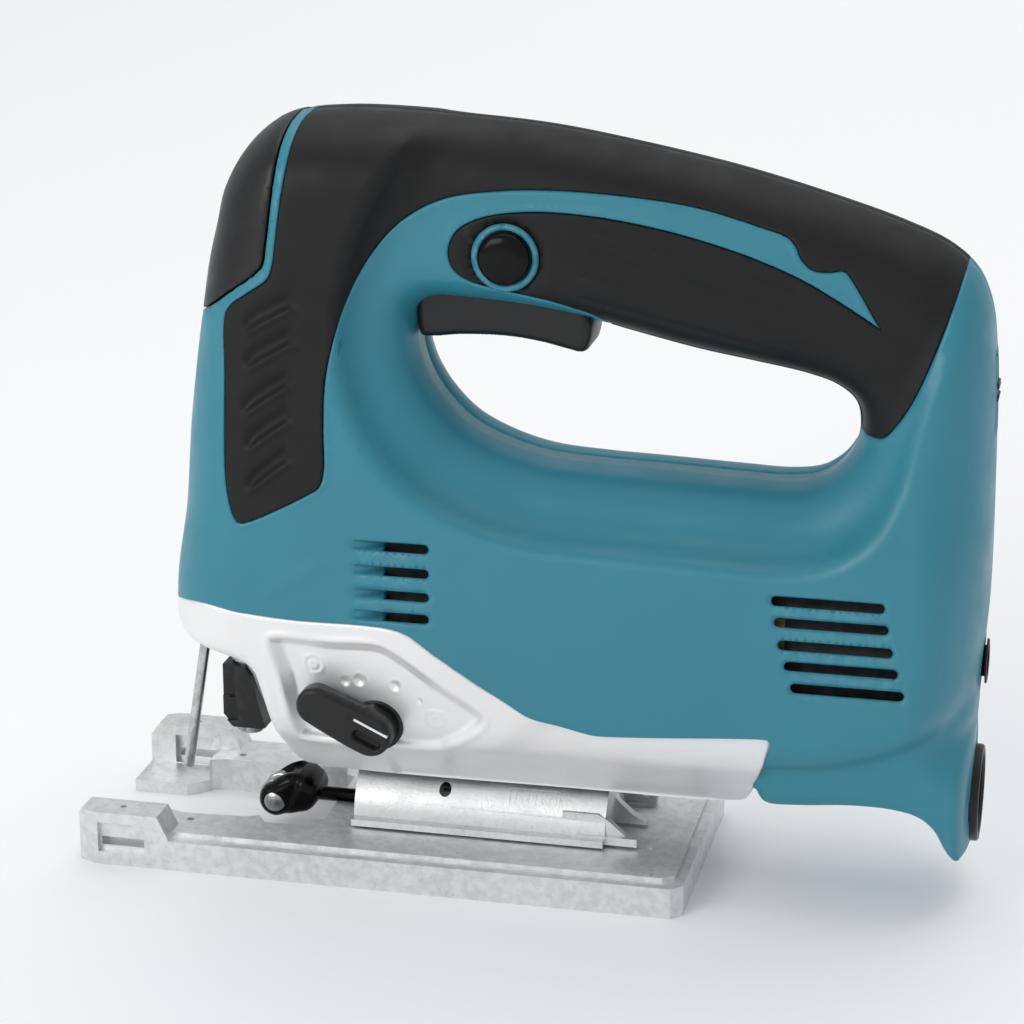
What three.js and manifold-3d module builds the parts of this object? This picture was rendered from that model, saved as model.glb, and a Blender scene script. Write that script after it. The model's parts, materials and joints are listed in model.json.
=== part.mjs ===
// Jigsaw power tool. Millimetres, +Z up, nose towards -X, sole on z = 0, mid-plane on y = 0.
import * as THREE from "three";
import { mergeVertices } from "three/addons/utils/BufferGeometryUtils.js";
import Module from "manifold-3d";

const wasm = await Module();
wasm.setup();

// ---- driving dimensions ----
const SELECTOR_TURN = (25.3 * Math.PI) / 180; // selector lever above the horizontal
const SHIFT_X = -5; // moves the datum to the middle of the overall length
const GAP = 0.3; // clearance between neighbouring pieces
const OPENER_GAP = 1.6; // the opener swings clear of the housing
const WIDE = 60; // half-width of cutters that pass right through

const HEAD_HALF = 31; // half-width of the head
const BARREL_HALF = 33; // half-width of the motor barrel
const HANDLE_HALF = 19; // half-width of the grip bar
const PILLAR_HALF = 25; // half-width of the rear pillar
const DUCT_HALF = 22; // half-width of the dust duct under the barrel
const WALL = 4.6; // housing wall
const SKIN = 2.2; // rubber thickness

const STROKE = 26; // plunger stroke
const CRANK_R = STROKE / 2;
const PLUNGER_X = -77.5;
const ROD_R = 5;
const COLLAR_BORE_R = 9.2; // room for the clamp collar to rise into the gear housing
const BUSH = { r: 10, low: 75.8, high: 84.6 }; // lower plunger bush
const MOTOR_Z = 77; // armature axis
const PINION_R = 4.2; // pitch radius, 8 teeth
const GEAR_R = 24.15; // pitch radius, 46 teeth
const GEAR_Z = MOTOR_Z + PINION_R + GEAR_R;
const TILT_Z = 10.5; // bevel axis, along X
const DOME_R = 16.5; // bevel saddle

const HINGE = [-63.6, 21.2]; // opener pin, x then y
const HINGE_SWEEP = 8.1; // radius swept by the opener's edge about its pin
const BUTTON = [0.6, 172.9]; // lock button, x then z
const SELECTOR = [-32.6, 44.4]; // selector shaft, x then z
const DIAL = [116.6, 140.5]; // speed dial, x then z
const INLET_Z = 66; // cord inlet axis, along X
const PORT_Z = 28.2; // dust port axis, along X
const CASE_SCREW = { y: 16, z: 57.5 };

const WIRE_R = 1.3; // finger guard
const BASE_REAR = 53;
const BASE_FRONT = -118;
const PLATE_T = 8.7;

// ---- colours ----
const TEAL = { color: 0x307c8e, roughness: 0.5, metalness: 0 };
const RUBBER = { color: 0x2a2a2a, roughness: 0.85, metalness: 0 };
const BLACK = { color: 0x161616, roughness: 0.4, metalness: 0 };
const CASTING = { color: 0xe2e2e2, roughness: 0.45, metalness: 0.6 };
const ALUMINIUM = { color: 0xc8c8c8, roughness: 0.4, metalness: 0.8 };
const STEEL = { color: 0xb0b0b0, roughness: 0.3, metalness: 1 };
const IRON = { color: 0x55555a, roughness: 0.5, metalness: 0.8 };
const BRONZE = { color: 0xa9803f, roughness: 0.4, metalness: 0.9 };
const COPPER = { color: 0xb36b3a, roughness: 0.35, metalness: 1 };
const CARBON = { color: 0x1d1d1f, roughness: 0.6, metalness: 0.1 };

// ---- outlines, x then z, of the side view ----
const FRONT = [
  [-97.6, 40], [-96.3, 77], [-94.2, 95], [-92.9, 118], [-90.2, 138], [-87.8, 151],
  [-85.9, 164], [-83.5, 174], [-80.4, 183], [-76.9, 191], [-70.5, 198], [-64.3, 202.7],
];
const TOP = [
  [-57, 206.4], [-45.7, 207.6], [-33.7, 208], [-13.6, 207.3], [10.9, 205], [33.9, 201.5],
  [62, 195.4], [89.8, 187.7], [103.7, 183.1], [115.3, 178.3], [121.5, 172.5], [125, 164],
];
const HEAD = [
  ...FRONT, ...TOP.slice(0, 3), [-10, 206.8], [-24, 174], [-26, 140], [-10, 112], [-10, 40],
];
const HANDLE = [
  ...TOP, [126, 150], [126, 100], [92, 100], [94.5, 122], [94.5, 133], [92, 139], [86, 143],
  [64.5, 147.4], [50, 149.8], [31.7, 153.9], [24, 155.5], [-20, 160.5], [-40, 163],
  [-57, 190],
];
const BARREL = [
  [-60, 38], [-60, 112], [-40, 125], [-14, 125], [0, 119], [88, 119], [104, 125], [117, 120],
  [124, 108], [126, 90], [126, 62], [122, 50], [108, 43], [75, 41], [28, 38],
];
const PILLAR = [[98, 92], [99, 155], [116, 168], [122, 160], [126, 140], [126, 95]];
const DUCT = [
  [40, 28], [70, 25.6], [100, 26.6], [109, 24.5], [116, 15], [126, 13.6], [126, 50],
  [110, 60], [40, 60],
];
const HOLE = [
  [-27, 146], [-23.5, 137], [-18.5, 128], [-12, 121.5], [-3, 117.3], [8.5, 115.6], [38, 115],
  [74, 114], [82, 115.5], [88, 120.5], [91.5, 126], [92.5, 131.5], [91, 137], [86, 141.5],
  [64.5, 146], [50, 148.6], [24, 154], [22, 157.5], [-26, 161], [-29, 155],
];
// Edge between plastic housing and gear housing, front to rear.
const SEAM = [
  [-98.5, 72], [-92, 73.5], [-84, 75.4], [-54.7, 74.2], [-33.9, 74.1], [-27, 73.5],
  [-22.3, 71.9], [-6.6, 61.5], [3.6, 55.4], [10.4, 51.4], [18.4, 49.7], [28.4, 47.9],
  [73.5, 50.6], [75, 49], [68.5, 30.7],
];
// Lower edge of the gear housing, rear to front.
const CASTING_LOW = [
  [66, 26.8], [-55, 26.8], [-59, 30], [-61.5, 34], [-64.9, 39], [-66.8, 45.5], [-69.3, 57],
  [-77, 58.5], [-85, 61], [-90, 63.5], [-94.5, 66.5], [-96.7, 68],
];
const CASTING_ZONE = [...SEAM, [66, 10], [-120, 10], [-120, 72]];
// Edge of the tool opener against the housing, bottom to top.
const OPENER_EDGE = [
  [-95, 146], [-79.7, 156.2], [-62.6, 168.7], [-61.2, 176], [-60, 186], [-58.8, 197],
  [-58.8, 215],
];
const OPENER_ZONE = [...OPENER_EDGE, [-120, 215], [-120, 146]];
const GRIP = [
  [-55.3, 215], [-55.6, 196], [-57, 186], [-58.5, 175], [-59.8, 167], [-72.8, 157.5],
  [-72.7, 113], [-70.7, 103.5], [-68, 100.2], [-47.7, 110.4], [-45.5, 115], [-45.6, 135],
  [-43, 150.6], [-40, 161.5], [-35.4, 171.8], [-26.4, 182.8], [-14.5, 189.8], [1.2, 192.2],
  [16.7, 192], [37.2, 190.5], [52.5, 188.3], [67.7, 184.3], [76, 180.6], [82, 173.5],
  [89, 173.6], [98.3, 159.6], [77.3, 172], [62, 177.8], [41.4, 183], [20.7, 185.6],
  [5, 185.6], [-6.8, 183.5], [-12.1, 180.1], [-14, 174.8], [-12.5, 169], [-8.2, 166.4],
  [10.4, 162.9], [26.2, 158.5], [30, 146], [80, 136], [94, 130], [100, 131.4],
  [102.9, 134.5], [107.6, 142.7], [113.2, 157.4], [117.5, 171.8], [122, 190],
];
// Plan view of the nose and the tail, x then y, left half.
const PLAN = [
  [-99, 0], [-98.6, -8], [-97, -14], [-93, -20], [-86, -25.5], [-76, -29], [-60, -31],
  [-20, -32], [0, -33], [112, -33], [121, -29], [125, -22], [127, -10], [127.5, 0],
];
// Section seen from behind, y then z, left half: the head narrows towards the top.
const SECTION = [
  [0, 4], [-14, 6], [-33, 30], [-33, 110], [-29.5, 135], [-28, 165], [-26, 188], [-21, 201],
  [-10, 207.5], [0, 209],
];

const round = { head: 9, barrel: 8, handle: 9.5, pillar: 8, duct: 3 };

// Housing screws: x, z.
const SCREWS = [[-36, 186], [52, 172], [109, 166], [113, 96], [84, 36], [-88.5, 92]];
const BOSS_R = 4;
const SCREW_R = 1.7;
const SCREW_HEAD_R = 3.1;

// ---- solids ----
function solidOf(geometry, weld = 1e-4) {
  const bare = geometry.index ? geometry.toNonIndexed() : geometry.clone();
  bare.deleteAttribute("normal");
  bare.deleteAttribute("uv");
  const merged = mergeVertices(bare, weld);
  return new wasm.Manifold(
    new wasm.Mesh({
      numProp: 3,
      vertProperties: merged.attributes.position.array,
      triVerts: new Uint32Array(merged.index.array),
    }),
  );
}

function geometryOf(solid) {
  const mesh = solid.getMesh();
  const geometry = new THREE.BufferGeometry();
  geometry.setAttribute("position", new THREE.BufferAttribute(mesh.vertProperties, 3));
  geometry.setIndex(new THREE.BufferAttribute(mesh.triVerts, 1));
  geometry.computeVertexNormals();
  return geometry;
}

function shapeOf(points) {
  return new THREE.Shape(points.map(([u, v]) => new THREE.Vector2(u, v)));
}

function extruded(shape, depth, bevel, steps) {
  return new THREE.ExtrudeGeometry(shape, {
    depth: depth - 2 * bevel,
    bevelEnabled: bevel > 0,
    bevelThickness: bevel,
    bevelSize: bevel,
    bevelOffset: -bevel,
    bevelSegments: steps,
    curveSegments: 8,
  }).translate(0, 0, bevel);
}

// Prism with its outline in x, z, standing between two y planes.
function side(outline, y0, y1, bevel = 0, steps = 3) {
  const shape = Array.isArray(outline) ? shapeOf(outline) : outline;
  const geometry = extruded(shape, y1 - y0, bevel, steps);
  return solidOf(geometry.rotateX(Math.PI / 2).translate(0, y1, 0));
}

// Prism with its outline in x, y, standing between two heights.
function plan(outline, z0, z1, bevel = 0) {
  const shape = Array.isArray(outline) ? shapeOf(outline) : outline;
  return solidOf(extruded(shape, z1 - z0, bevel, 2).translate(0, 0, z0));
}

// Prism with its outline in y, z, standing between two x planes.
function cross(outline, x0, x1, bevel = 0) {
  const shape = Array.isArray(outline) ? shapeOf(outline) : outline;
  const turn = new THREE.Matrix4().makeBasis(
    new THREE.Vector3(0, 1, 0),
    new THREE.Vector3(0, 0, 1),
    new THREE.Vector3(1, 0, 0),
  );
  return solidOf(extruded(shape, x1 - x0, bevel, 2).applyMatrix4(turn).translate(x0, 0, 0));
}

function block(x0, x1, y0, y1, z0, z1) {
  const geometry = new THREE.BoxGeometry(x1 - x0, y1 - y0, z1 - z0);
  return geometry.translate((x0 + x1) / 2, (y0 + y1) / 2, (z0 + z1) / 2);
}

const box = (...limits) => solidOf(block(...limits));

// Turned body: radius, position pairs along the axis, then laid along x, y or z.
function turned(profile, axis, at, sides = 20) {
  const points = profile.map(([r, s]) => new THREE.Vector2(r, s));
  const area = THREE.ShapeUtils.area(points);
  if (area < 0) points.reverse();
  const geometry = new THREE.LatheGeometry([...points, points[0]], sides);
  if (axis === "x") geometry.rotateZ(-Math.PI / 2);
  if (axis === "z") geometry.rotateX(Math.PI / 2);
  return solidOf(geometry.translate(...at));
}

function rod(r, from, to, axis, at, sides = 20) {
  return turned([[0, from], [r, from], [r, to], [0, to]], axis, at, sides);
}

function tube(rIn, rOut, from, to, axis, at, sides = 20) {
  return turned([[rIn, from], [rOut, from], [rOut, to], [rIn, to]], axis, at, sides);
}

const union = (...solids) => solids.reduce((sum, s) => sum.add(s));

function largest(solid) {
  const bodies = solid.decompose().sort((a, b) => b.volume() - a.volume());
  return bodies[0];
}

const mirrored = (points) => [...points, ...points.slice(1, -1).reverse().map(([u, v]) => [u, -v])];

const mirroredY = (points) => [...points, ...points.slice(1, -1).reverse().map(([u, v]) => [-u, v])];

// Outline moved inwards by d, each corner along its own bisector.
function inset(points, d) {
  const area = THREE.ShapeUtils.area(points.map(([u, v]) => new THREE.Vector2(u, v)));
  const turn = Math.sign(area);
  const count = points.length;
  return points.map(([u, v], i) => {
    const [pu, pv] = points[(i + count - 1) % count];
    const [nu, nv] = points[(i + 1) % count];
    const a = new THREE.Vector2(u - pu, v - pv).normalize();
    const b = new THREE.Vector2(nu - u, nv - v).normalize();
    const normal = new THREE.Vector2(-a.y - b.y, a.x + b.x).normalize();
    const reach = d / Math.max(0.6, normal.dot(new THREE.Vector2(-a.y, a.x)));
    return [u + turn * normal.x * reach, v + turn * normal.y * reach];
  });
}

// The whole rounded body, grown smaller by d on every face.
function body(d) {
  const slab = (outline, half, bevel) =>
    side(inset(outline, d), d - half, half - d, Math.max(1, bevel - d), 2);
  const holeFlare = (y) => {
    const shape = shapeOf(inset(HOLE, -d));
    const geometry = new THREE.ExtrudeGeometry(shape, {
      depth: 20,
      bevelThickness: 13,
      bevelSize: 13,
      bevelOffset: 0,
      bevelSegments: 1,
    });
    return solidOf(geometry.rotateX(Math.PI / 2).translate(0, y, 0));
  };
  const flares = union(holeFlare(-20 - 13 + d), holeFlare(20 + 20 + 13 - d));
  const wide = union(
    slab(HEAD, HEAD_HALF, round.head),
    slab(BARREL, BARREL_HALF, round.barrel),
    slab(PILLAR, PILLAR_HALF, round.pillar),
  )
    .subtract(side(inset(HOLE, -d), -WIDE, WIDE))
    .subtract(flares);
  return union(wide, slab(HANDLE, HANDLE_HALF, round.handle), slab(DUCT, DUCT_HALF, round.duct))
    .intersect(plan(inset(mirrored(PLAN), d), -10, 220))
    .intersect(cross(inset(mirroredY(SECTION), d), -110, 140));
}

const full = body(0);
const belowSkin = body(SKIN + GAP);
const hollow = body(WALL);

const hingeSweep = rod(HINGE_SWEEP, 160.4, 200, "z", [...HINGE, 0], 32);

function gripSkin(y0, y1) {
  const skin = full.subtract(body(SKIN));
  const hugged = side(GRIP, y0, y1);
  return skin.intersect(hugged);
}

function vents() {
  const front = [96.5, 89.7, 83.1, 77.4].map((z) => [-38, -17, z, 2.4]);
  const rear = [89.5, 83.7, 77.6, 71.9, 66].map((z) => [73.5 + (89.5 - z) * 0.24, 0, z, 2.6]);
  const rows = [...front, ...rear.map(([x, , z, h]) => [x, x + 29.5, z, h])];
  return union(
    ...rows.flatMap(([x0, x1, z, h]) => [
      box(x0, x1, -40, -24, z - h / 2, z + h / 2),
      box(x0, x1, 24, 40, z - h / 2, z + h / 2),
    ]),
  );
}

// ---- housing halves ----
function housing(sign) {
  const [y0, y1] = sign < 0 ? [-WIDE, -GAP / 2] : [GAP / 2, WIDE];
  const pocket = side(inset(GRIP, -GAP), -WIDE, WIDE).add(side(GRIP, -WIDE, WIDE));
  const bosses = SCREWS.map(([x, z]) => rod(BOSS_R, -30, 30, "y", [x, 0, z], 8));
  const lug = rod(2.8, 150, 160, "z", [...HINGE, 0], 16)
    .add(box(HINGE[0], -54, 21, 25, 150, 160))
    .subtract(rod(1.6, 140, 170, "z", [...HINGE, 0], 16));
  let shell = full
    .subtract(hollow.subtract(union(...bosses, lug)))
    .subtract(pocket.subtract(belowSkin))
    .subtract(side(inset(OPENER_ZONE, -OPENER_GAP), -WIDE, WIDE))
    .subtract(side(inset(CASTING_ZONE, -GAP), -WIDE, WIDE))
    .subtract(vents());
  const mouth = box(-28, 23, -9.5, 9.5, 146, 166);
  const button = rod(7.4, -30, -10, "y", [BUTTON[0], 0, BUTTON[1]], 32);
  const port = rod(12.6, 100, 140, "x", [0, 0, PORT_Z], 32);
  const inlet = rod(7.3, 100, 140, "x", [0, 0, INLET_Z], 24);
  const dialSlot = box(106, 140, -3.4, 3.4, DIAL[1] - 11, DIAL[1] + 11);
  shell = shell.subtract(mouth).subtract(port).subtract(inlet).subtract(dialSlot);
  shell = shell.subtract(sign < 0 ? button : hingeSweep);
  for (const [x, z] of SCREWS) {
    shell = shell.subtract(rod(SCREW_R + GAP, -12.5, 20, "y", [x, 0, z], 8));
    if (sign > 0) shell = shell.subtract(rod(SCREW_HEAD_R + GAP, 12, 50, "y", [x, 0, z], 12));
  }
  return largest(shell.intersect(box(-120, 140, y0, y1, 0, 220)));
}

function grip(sign) {
  const [y0, y1] = sign < 0 ? [-WIDE, -GAP / 2] : [GAP / 2, WIDE];
  let skin = gripSkin(y0, y1).subtract(box(-28, 23, -9.5, 9.5, 140, 166));
  if (sign < 0) {
    return largest(skin.subtract(rod(8.2, -30, -10, "y", [BUTTON[0], 0, BUTTON[1]], 24)));
  }
  for (const [x, z] of SCREWS) {
    skin = skin.subtract(rod(SCREW_HEAD_R + GAP, 12, 50, "y", [x, 0, z], 12));
  }
  return largest(skin.subtract(hingeSweep));
}

function opener() {
  const zone = side(OPENER_ZONE, -WIDE, WIDE);
  const knuckle = rod(3.4, 172, 196, "z", [...HINGE, 0], 16);
  const web = box(-67.5, -64, 19, 25, 172, 196);
  const pinHole = rod(1.6, 140, 196.4, "z", [...HINGE, 0], 16);
  const inner = body(3).subtract(knuckle).subtract(web);
  return largest(full.subtract(inner).intersect(zone).subtract(pinHole));
}

// ---- gear housing ----
function gearHousing() {
  const outline = [...SEAM, ...CASTING_LOW];
  const section = [
    [-28.6, 82], [-28.6, 42], [-26.5, 37.9], [-15.8, 27.2], [15.8, 27.2], [26.5, 37.9],
    [28.6, 42], [28.6, 82],
  ];
  const chin = side(outline, -WIDE, WIDE)
    .intersect(cross(section, -110, 90))
    .intersect(plan(inset(mirrored(PLAN), 0.4), 0, 120));
  const basin = box(-62, 62, -22, 22, 33, 90);
  const bulkhead = box(-39, -33.8, -22.5, 22.5, 32.5, 62);
  const tower = rod(BUSH.r + 2.4, 62, BUSH.high, "z", [PLUNGER_X, 0, 0], 28);
  const bushSeat = rod(BUSH.r + GAP, BUSH.low, 90, "z", [PLUNGER_X, 0, 0], 28);
  const collarBore = rod(COLLAR_BORE_R, 20, 80, "z", [PLUNGER_X, 0, 0], 28);
  const wireHole = wire(WIRE_R + GAP);
  const panel = [
    [-56, 66], [-30, 66], [-24, 63], [-4, 50], [-7, 42], [-20, 38.6], [-46, 38.6], [-53, 43],
  ];
  const recess = side(panel, -40, -27.8);
  const shaftHole = rod(3 + GAP, -40, -15, "y", [SELECTOR[0], 0, SELECTOR[1]], 20);
  const screws = [-1, 1].map((s) =>
    rod(SCREW_R + GAP, -38, -20, "x", [0, s * CASE_SCREW.y, CASE_SCREW.z], 12),
  );
  return largest(
    chin
      .subtract(basin)
      .add(bulkhead)
      .add(tower)
      .subtract(bushSeat)
      .subtract(collarBore)
      .subtract(wireHole)
      .subtract(recess)
      .subtract(shaftHole)
      .subtract(union(...screws)),
  );
}

function wire(r) {
  const path = new THREE.CatmullRomCurve3([
    new THREE.Vector3(-90.2, 0, 71),
    new THREE.Vector3(-89.6, 0, 53.8),
    new THREE.Vector3(-93.2, 0, 34.5),
    new THREE.Vector3(-96.8, 0, 15.1),
  ]);
  const circle = new THREE.Shape().absarc(0, 0, r, 0, Math.PI * 2);
  const geometry = new THREE.ExtrudeGeometry(circle, {
    steps: 8,
    extrudePath: path,
    curveSegments: 6,
  });
  return solidOf(geometry);
}

// ---- selector ----
function selector() {
  const reach = 16.5;
  const outline = new THREE.Shape();
  outline.absarc(0, 0, 5.6, -Math.PI / 2, Math.PI / 2);
  outline.absarc(-reach, 0, 5, Math.PI / 2, Math.PI * 1.5);
  const lever = solidOf(
    extruded(outline, 9, 1.4, 2).rotateX(Math.PI / 2).rotateY(SELECTOR_TURN),
  );
  const pointer = solidOf(block(-1.2, 6, -10, -8.2, -1.2, 1.2).rotateY(SELECTOR_TURN));
  const shaft = rod(3, 0, 10.5, "y", [0, 0, 0], 20);
  return lever.subtract(pointer).add(shaft);
}

// ---- drive ----
function gear(teeth, pitch, tall, x0, x1, z, bore) {
  const shape = new THREE.Shape();
  for (let i = 0; i < teeth; i += 1) {
    const step = (Math.PI * 2) / teeth;
    const root = pitch - tall - GAP;
    const corners = [[-0.23, root], [-0.1, pitch + tall], [0.1, pitch + tall], [0.23, root]];
    for (const [turn, r] of corners) {
      const angle = (i + turn) * step;
      const [u, v] = [r * Math.cos(angle), z + r * Math.sin(angle)];
      if (i === 0 && turn === -0.23) shape.moveTo(u, v);
      else shape.lineTo(u, v);
    }
  }
  const solid = cross(shape, x0, x1);
  return bore > 0 ? solid.subtract(rod(bore, x0 - 1, x1 + 1, "x", [0, 0, z])) : solid;
}

function plunger() {
  const pinZ = GEAR_Z - CRANK_R;
  const shaft = rod(ROD_R, 50, 138, "z", [PLUNGER_X, 0, 0]);
  const plate = box(-66, -60, -20, 20, pinZ - 7, pinZ + 7);
  const slot = box(-67, -59, -16.6, 16.6, pinZ - 3.4, pinZ + 3.4);
  const back = box(-75, -65.5, -8, 8, pinZ - 7, pinZ + 7);
  return shaft.add(plate.subtract(slot)).add(back);
}

function counterweight() {
  const frame = box(-57, -52, -20.5, 20.5, 82, 156);
  const window = box(-58, -51, -16.8, 16.8, 88, 150);
  return frame.subtract(window);
}

function crankGear() {
  const blank = gear(46, GEAR_R, 0.8, -46, -37, GEAR_Z, 4 + GAP);
  const hub = tube(4 + GAP, 8, -37.2, -34, "x", [0, 0, GEAR_Z]);
  return blank.add(hub).subtract(rod(3 + GAP, -47, -38, "x", [0, 0, GEAR_Z - CRANK_R], 20));
}

function bearingPlate() {
  const outline = [
    [-21.4, 52], [21.4, 52], [21.4, 78], [25, 82], [24, 106], [12, 115], [-12, 115], [-24, 106],
    [-25, 82], [-21.4, 78],
  ];
  const screws = [-1, 1].map((s) =>
    rod(SCREW_R + GAP, -40, -10, "x", [0, s * CASE_SCREW.y, CASE_SCREW.z], 12),
  );
  return cross(outline, -33.4, -25.4)
    .subtract(rod(11 + GAP, -31, -10, "x", [0, 0, MOTOR_Z], 32))
    .subtract(rod(6, -40, -10, "x", [0, 0, MOTOR_Z], 24))
    .subtract(rod(4 + GAP, -40, -27, "x", [0, 0, GEAR_Z], 24))
    .subtract(union(...screws));
}

function stator() {
  const ring = tube(17.6, 25.5, 5, 55, "x", [0, 0, MOTOR_Z], 28);
  const flats = [MOTOR_Z - 40, MOTOR_Z + 40].map((z) => box(0, 60, -40, 40, z - 16, z + 16));
  return ring.subtract(union(...flats));
}

function armature() {
  const shaft = rod(3.6, -33.6, 99, "x", [0, 0, MOTOR_Z]);
  const stack = rod(16, 8, 52, "x", [0, 0, MOTOR_Z], 24);
  const slots = [];
  for (let i = 0; i < 12; i += 1) {
    const slot = block(7, 53, -0.8, 0.8, 13.2, 20).rotateX((i * Math.PI) / 6);
    slots.push(solidOf(slot.translate(0, 0, MOTOR_Z)));
  }
  return stack.subtract(union(...slots)).add(shaft);
}

function fan() {
  const disc = tube(3.6 + GAP, 24, -7, -5, "x", [0, 0, MOTOR_Z], 28);
  const hub = tube(3.6 + GAP, 8, -15, -5, "x", [0, 0, MOTOR_Z], 24);
  const blades = [];
  for (let i = 0; i < 9; i += 1) {
    const blade = block(-15, -6.5, 0, 1.4, 7, 23.5).rotateX((i * Math.PI * 2) / 9);
    blades.push(solidOf(blade.translate(0, 0, MOTOR_Z)));
  }
  return disc.add(hub).add(union(...blades).subtract(rod(5, -20, 0, "x", [0, 0, MOTOR_Z])));
}

function ballBearing(x, rIn, rOut) {
  const width = 7;
  const groove = 1;
  return turned(
    [
      [rIn, x], [rOut, x], [rOut, x + width], [rOut - 2.2, x + width],
      [rOut - 2.4, x + width - groove], [rIn + 2.4, x + width - groove],
      [rIn + 2.2, x + width], [rIn, x + width],
    ],
    "x",
    [0, 0, MOTOR_Z],
  );
}

function brushHolder(sign) {
  const [y0, y1] = sign < 0 ? [-27, -13] : [13, 27];
  return box(65, 77, y0, y1, MOTOR_Z - 6, MOTOR_Z + 6).subtract(
    box(67.6, 74.4, y0 - 1, y1 + 1, MOTOR_Z - 3.6, MOTOR_Z + 3.6),
  );
}

function brush(sign) {
  const [y0, y1] = sign < 0 ? [-24, -11.6] : [11.6, 24];
  return box(68, 74, y0, y1, MOTOR_Z - 3.2, MOTOR_Z + 3.2);
}

// ---- blade clamp ----
function bladeClamp() {
  const bodyTop = 50;
  const core = turned(
    [[0, 28.2], [3.6, 28.2], [4.4, 30.5], [4.4, bodyTop], [0, bodyTop]],
    "z",
    [PLUNGER_X, 0, 0],
  );
  return core.subtract(box(-82, -73.5, -0.8, 0.8, 20, 42));
}

function clampCollar() {
  const outline = [[-5.8, -6.6], [4.6, -6.6], [6.4, -3], [6.4, 3], [4.6, 6.6], [-5.8, 6.6]];
  return plan(outline, 31, 49.3, 0.8)
    .subtract(rod(4.4 + GAP, 20, 60, "z", [0, 0, 0]));
}

// ---- blade roller ----
const ROLLER = [-69.1, 9.6];

function rollerHolder() {
  const [rx, rz] = ROLLER;
  const outline = new THREE.Shape();
  outline.absarc(rx, rz, 4.4, Math.PI * 0.62, Math.PI * 1.55);
  outline.lineTo(-60, 6.4);
  outline.lineTo(-56.4, 9);
  outline.lineTo(-57, 14.2);
  outline.lineTo(-60.4, 17.4);
  outline.lineTo(-65.5, 17.8);
  const fork = side(outline, -7.5, 7.5, 0.9, 2);
  const slot = box(-80, rx + 6.2, -3.9, 3.9, 0, 30);
  const pinHole = rod(1.6 + GAP, -20, 20, "y", [rx, 0, rz], 16);
  const stem = rod(2, -58, -40, "x", [0, 0, TILT_Z], 16);
  return fork.subtract(slot).subtract(pinHole).add(stem);
}

function roller() {
  const [rx, rz] = ROLLER;
  const profile = [
    [1.9, -3.5], [5.4, -3.5], [5.4, -0.9], [4.9, -0.6], [4.9, 0.6], [5.4, 0.9], [5.4, 3.5],
    [1.9, 3.5],
  ];
  return turned(profile, "y", [rx, 0, rz]);
}

// ---- base ----
function basePlate() {
  const slot = [
    [-130, -13], [-88, -13], [-82, -17], [-66, -24], [-57, -24], [-54, -20], [-54, 20],
    [-57, 24], [-66, 24], [-82, 17], [-88, 13], [-130, 13],
  ];
  const outline = [
    [BASE_FRONT, -31], [-115, -37], [-112, -38], [50, -38], [BASE_REAR, -35], [BASE_REAR, 35],
    [50, 38], [-112, 38], [-115, 37], [BASE_FRONT, 31],
  ];
  const plateShape = plan(outline, 0, PLATE_T, 0);
  const top = [[-88, -33.5], [47, -33.5], [50, -31], [50, 31], [47, 33.5], [-88, 33.5]];
  const raised = plan(top, 5, 9.8);
  const prong = [
    [BASE_FRONT, 0], [BASE_FRONT, 12], [-115.5, 15.5], [-94, 15.5], [-89, 9], [-89, 0],
  ];
  const prongs = [-33, 33].map((y) => side(prong, y - 5, y + 5));
  const flangeCut = box(-130, -89, -28, 28, 3.6, 30);
  const windows = box(-110.5, -97, -50, 50, 4, 12.6);
  const boltHole = rod(7.6, -1, 20, "z", [0, 0, 0], 24);
  const underside = box(-50, 40, -12.5, 12.5, -1, 4.2);
  const stemChannel = rod(2.8, -60, -39, "x", [0, 0, TILT_Z], 16);
  return largest(
    plateShape
      .subtract(flangeCut)
      .add(raised)
      .add(union(...prongs).intersect(plan(outline, 0, 40)))
      .subtract(plan(slot, -1, 40))
      .subtract(windows)
      .subtract(boltHole)
      .subtract(stemChannel)
      .subtract(underside),
  );
}

function bevelSaddle() {
  const dome = new THREE.Shape();
  dome.absarc(0, TILT_Z, DOME_R, 0, Math.PI);
  const bore = new THREE.Shape();
  bore.absarc(0, TILT_Z, DOME_R - 3.4, 0, Math.PI * 2);
  const shell = cross(dome, -43, 28).subtract(cross(bore, -39, 24));
  const rib = side([[20, 12], [20, 26.5], [24, 26.5], [36, 12.4], [36, TILT_Z]], -1.6, 1.6);
  const block = rib.subtract(cross(bore, -39, 24));
  const stemHole = rod(2.5, -60, -38, "x", [0, 0, TILT_Z], 16);
  const scaleHole = rod(1.5, -30, 0, "y", [-17.4, 0, 21.5], 16);
  const feet = box(-43, 28, -19.5, 19.5, 10.1, 12.6).subtract(cross(bore, -39, 24));
  return shell
    .add(block)
    .add(feet)
    .subtract(stemHole)
    .subtract(scaleHole)
    .intersect(box(-60, 60, -20, 20, 10.1, 40));
}

function clampBlock() {
  const half = new THREE.Shape();
  half.absarc(0, TILT_Z, DOME_R - 3.4 - GAP, 0.12, Math.PI - 0.12);
  return cross(half, -12, 12).subtract(rod(3 + GAP, 0, 21, "z", [0, 0, 0], 20));
}

function baseBolt() {
  const hex = rod(6.4, 2.2, 7.4, "z", [0, 0, 0], 6);
  const socket = rod(3, 1, 5, "z", [0, 0, 0], 6);
  return hex.subtract(socket).add(rod(3, 7, 20, "z", [0, 0, 0], 20));
}

// ---- controls ----
function trigger() {
  const outline = [
    [-25.6, 149.2], [-23, 147.6], [-14, 148.4], [-2, 148.6], [10.7, 147.2], [18.8, 145.6],
    [20.6, 147], [21.4, 155], [16, 160.5], [-18, 163.5], [-24.6, 163.5],
  ];
  return side(outline, -8.8, 8.8, 2, 2);
}

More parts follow.
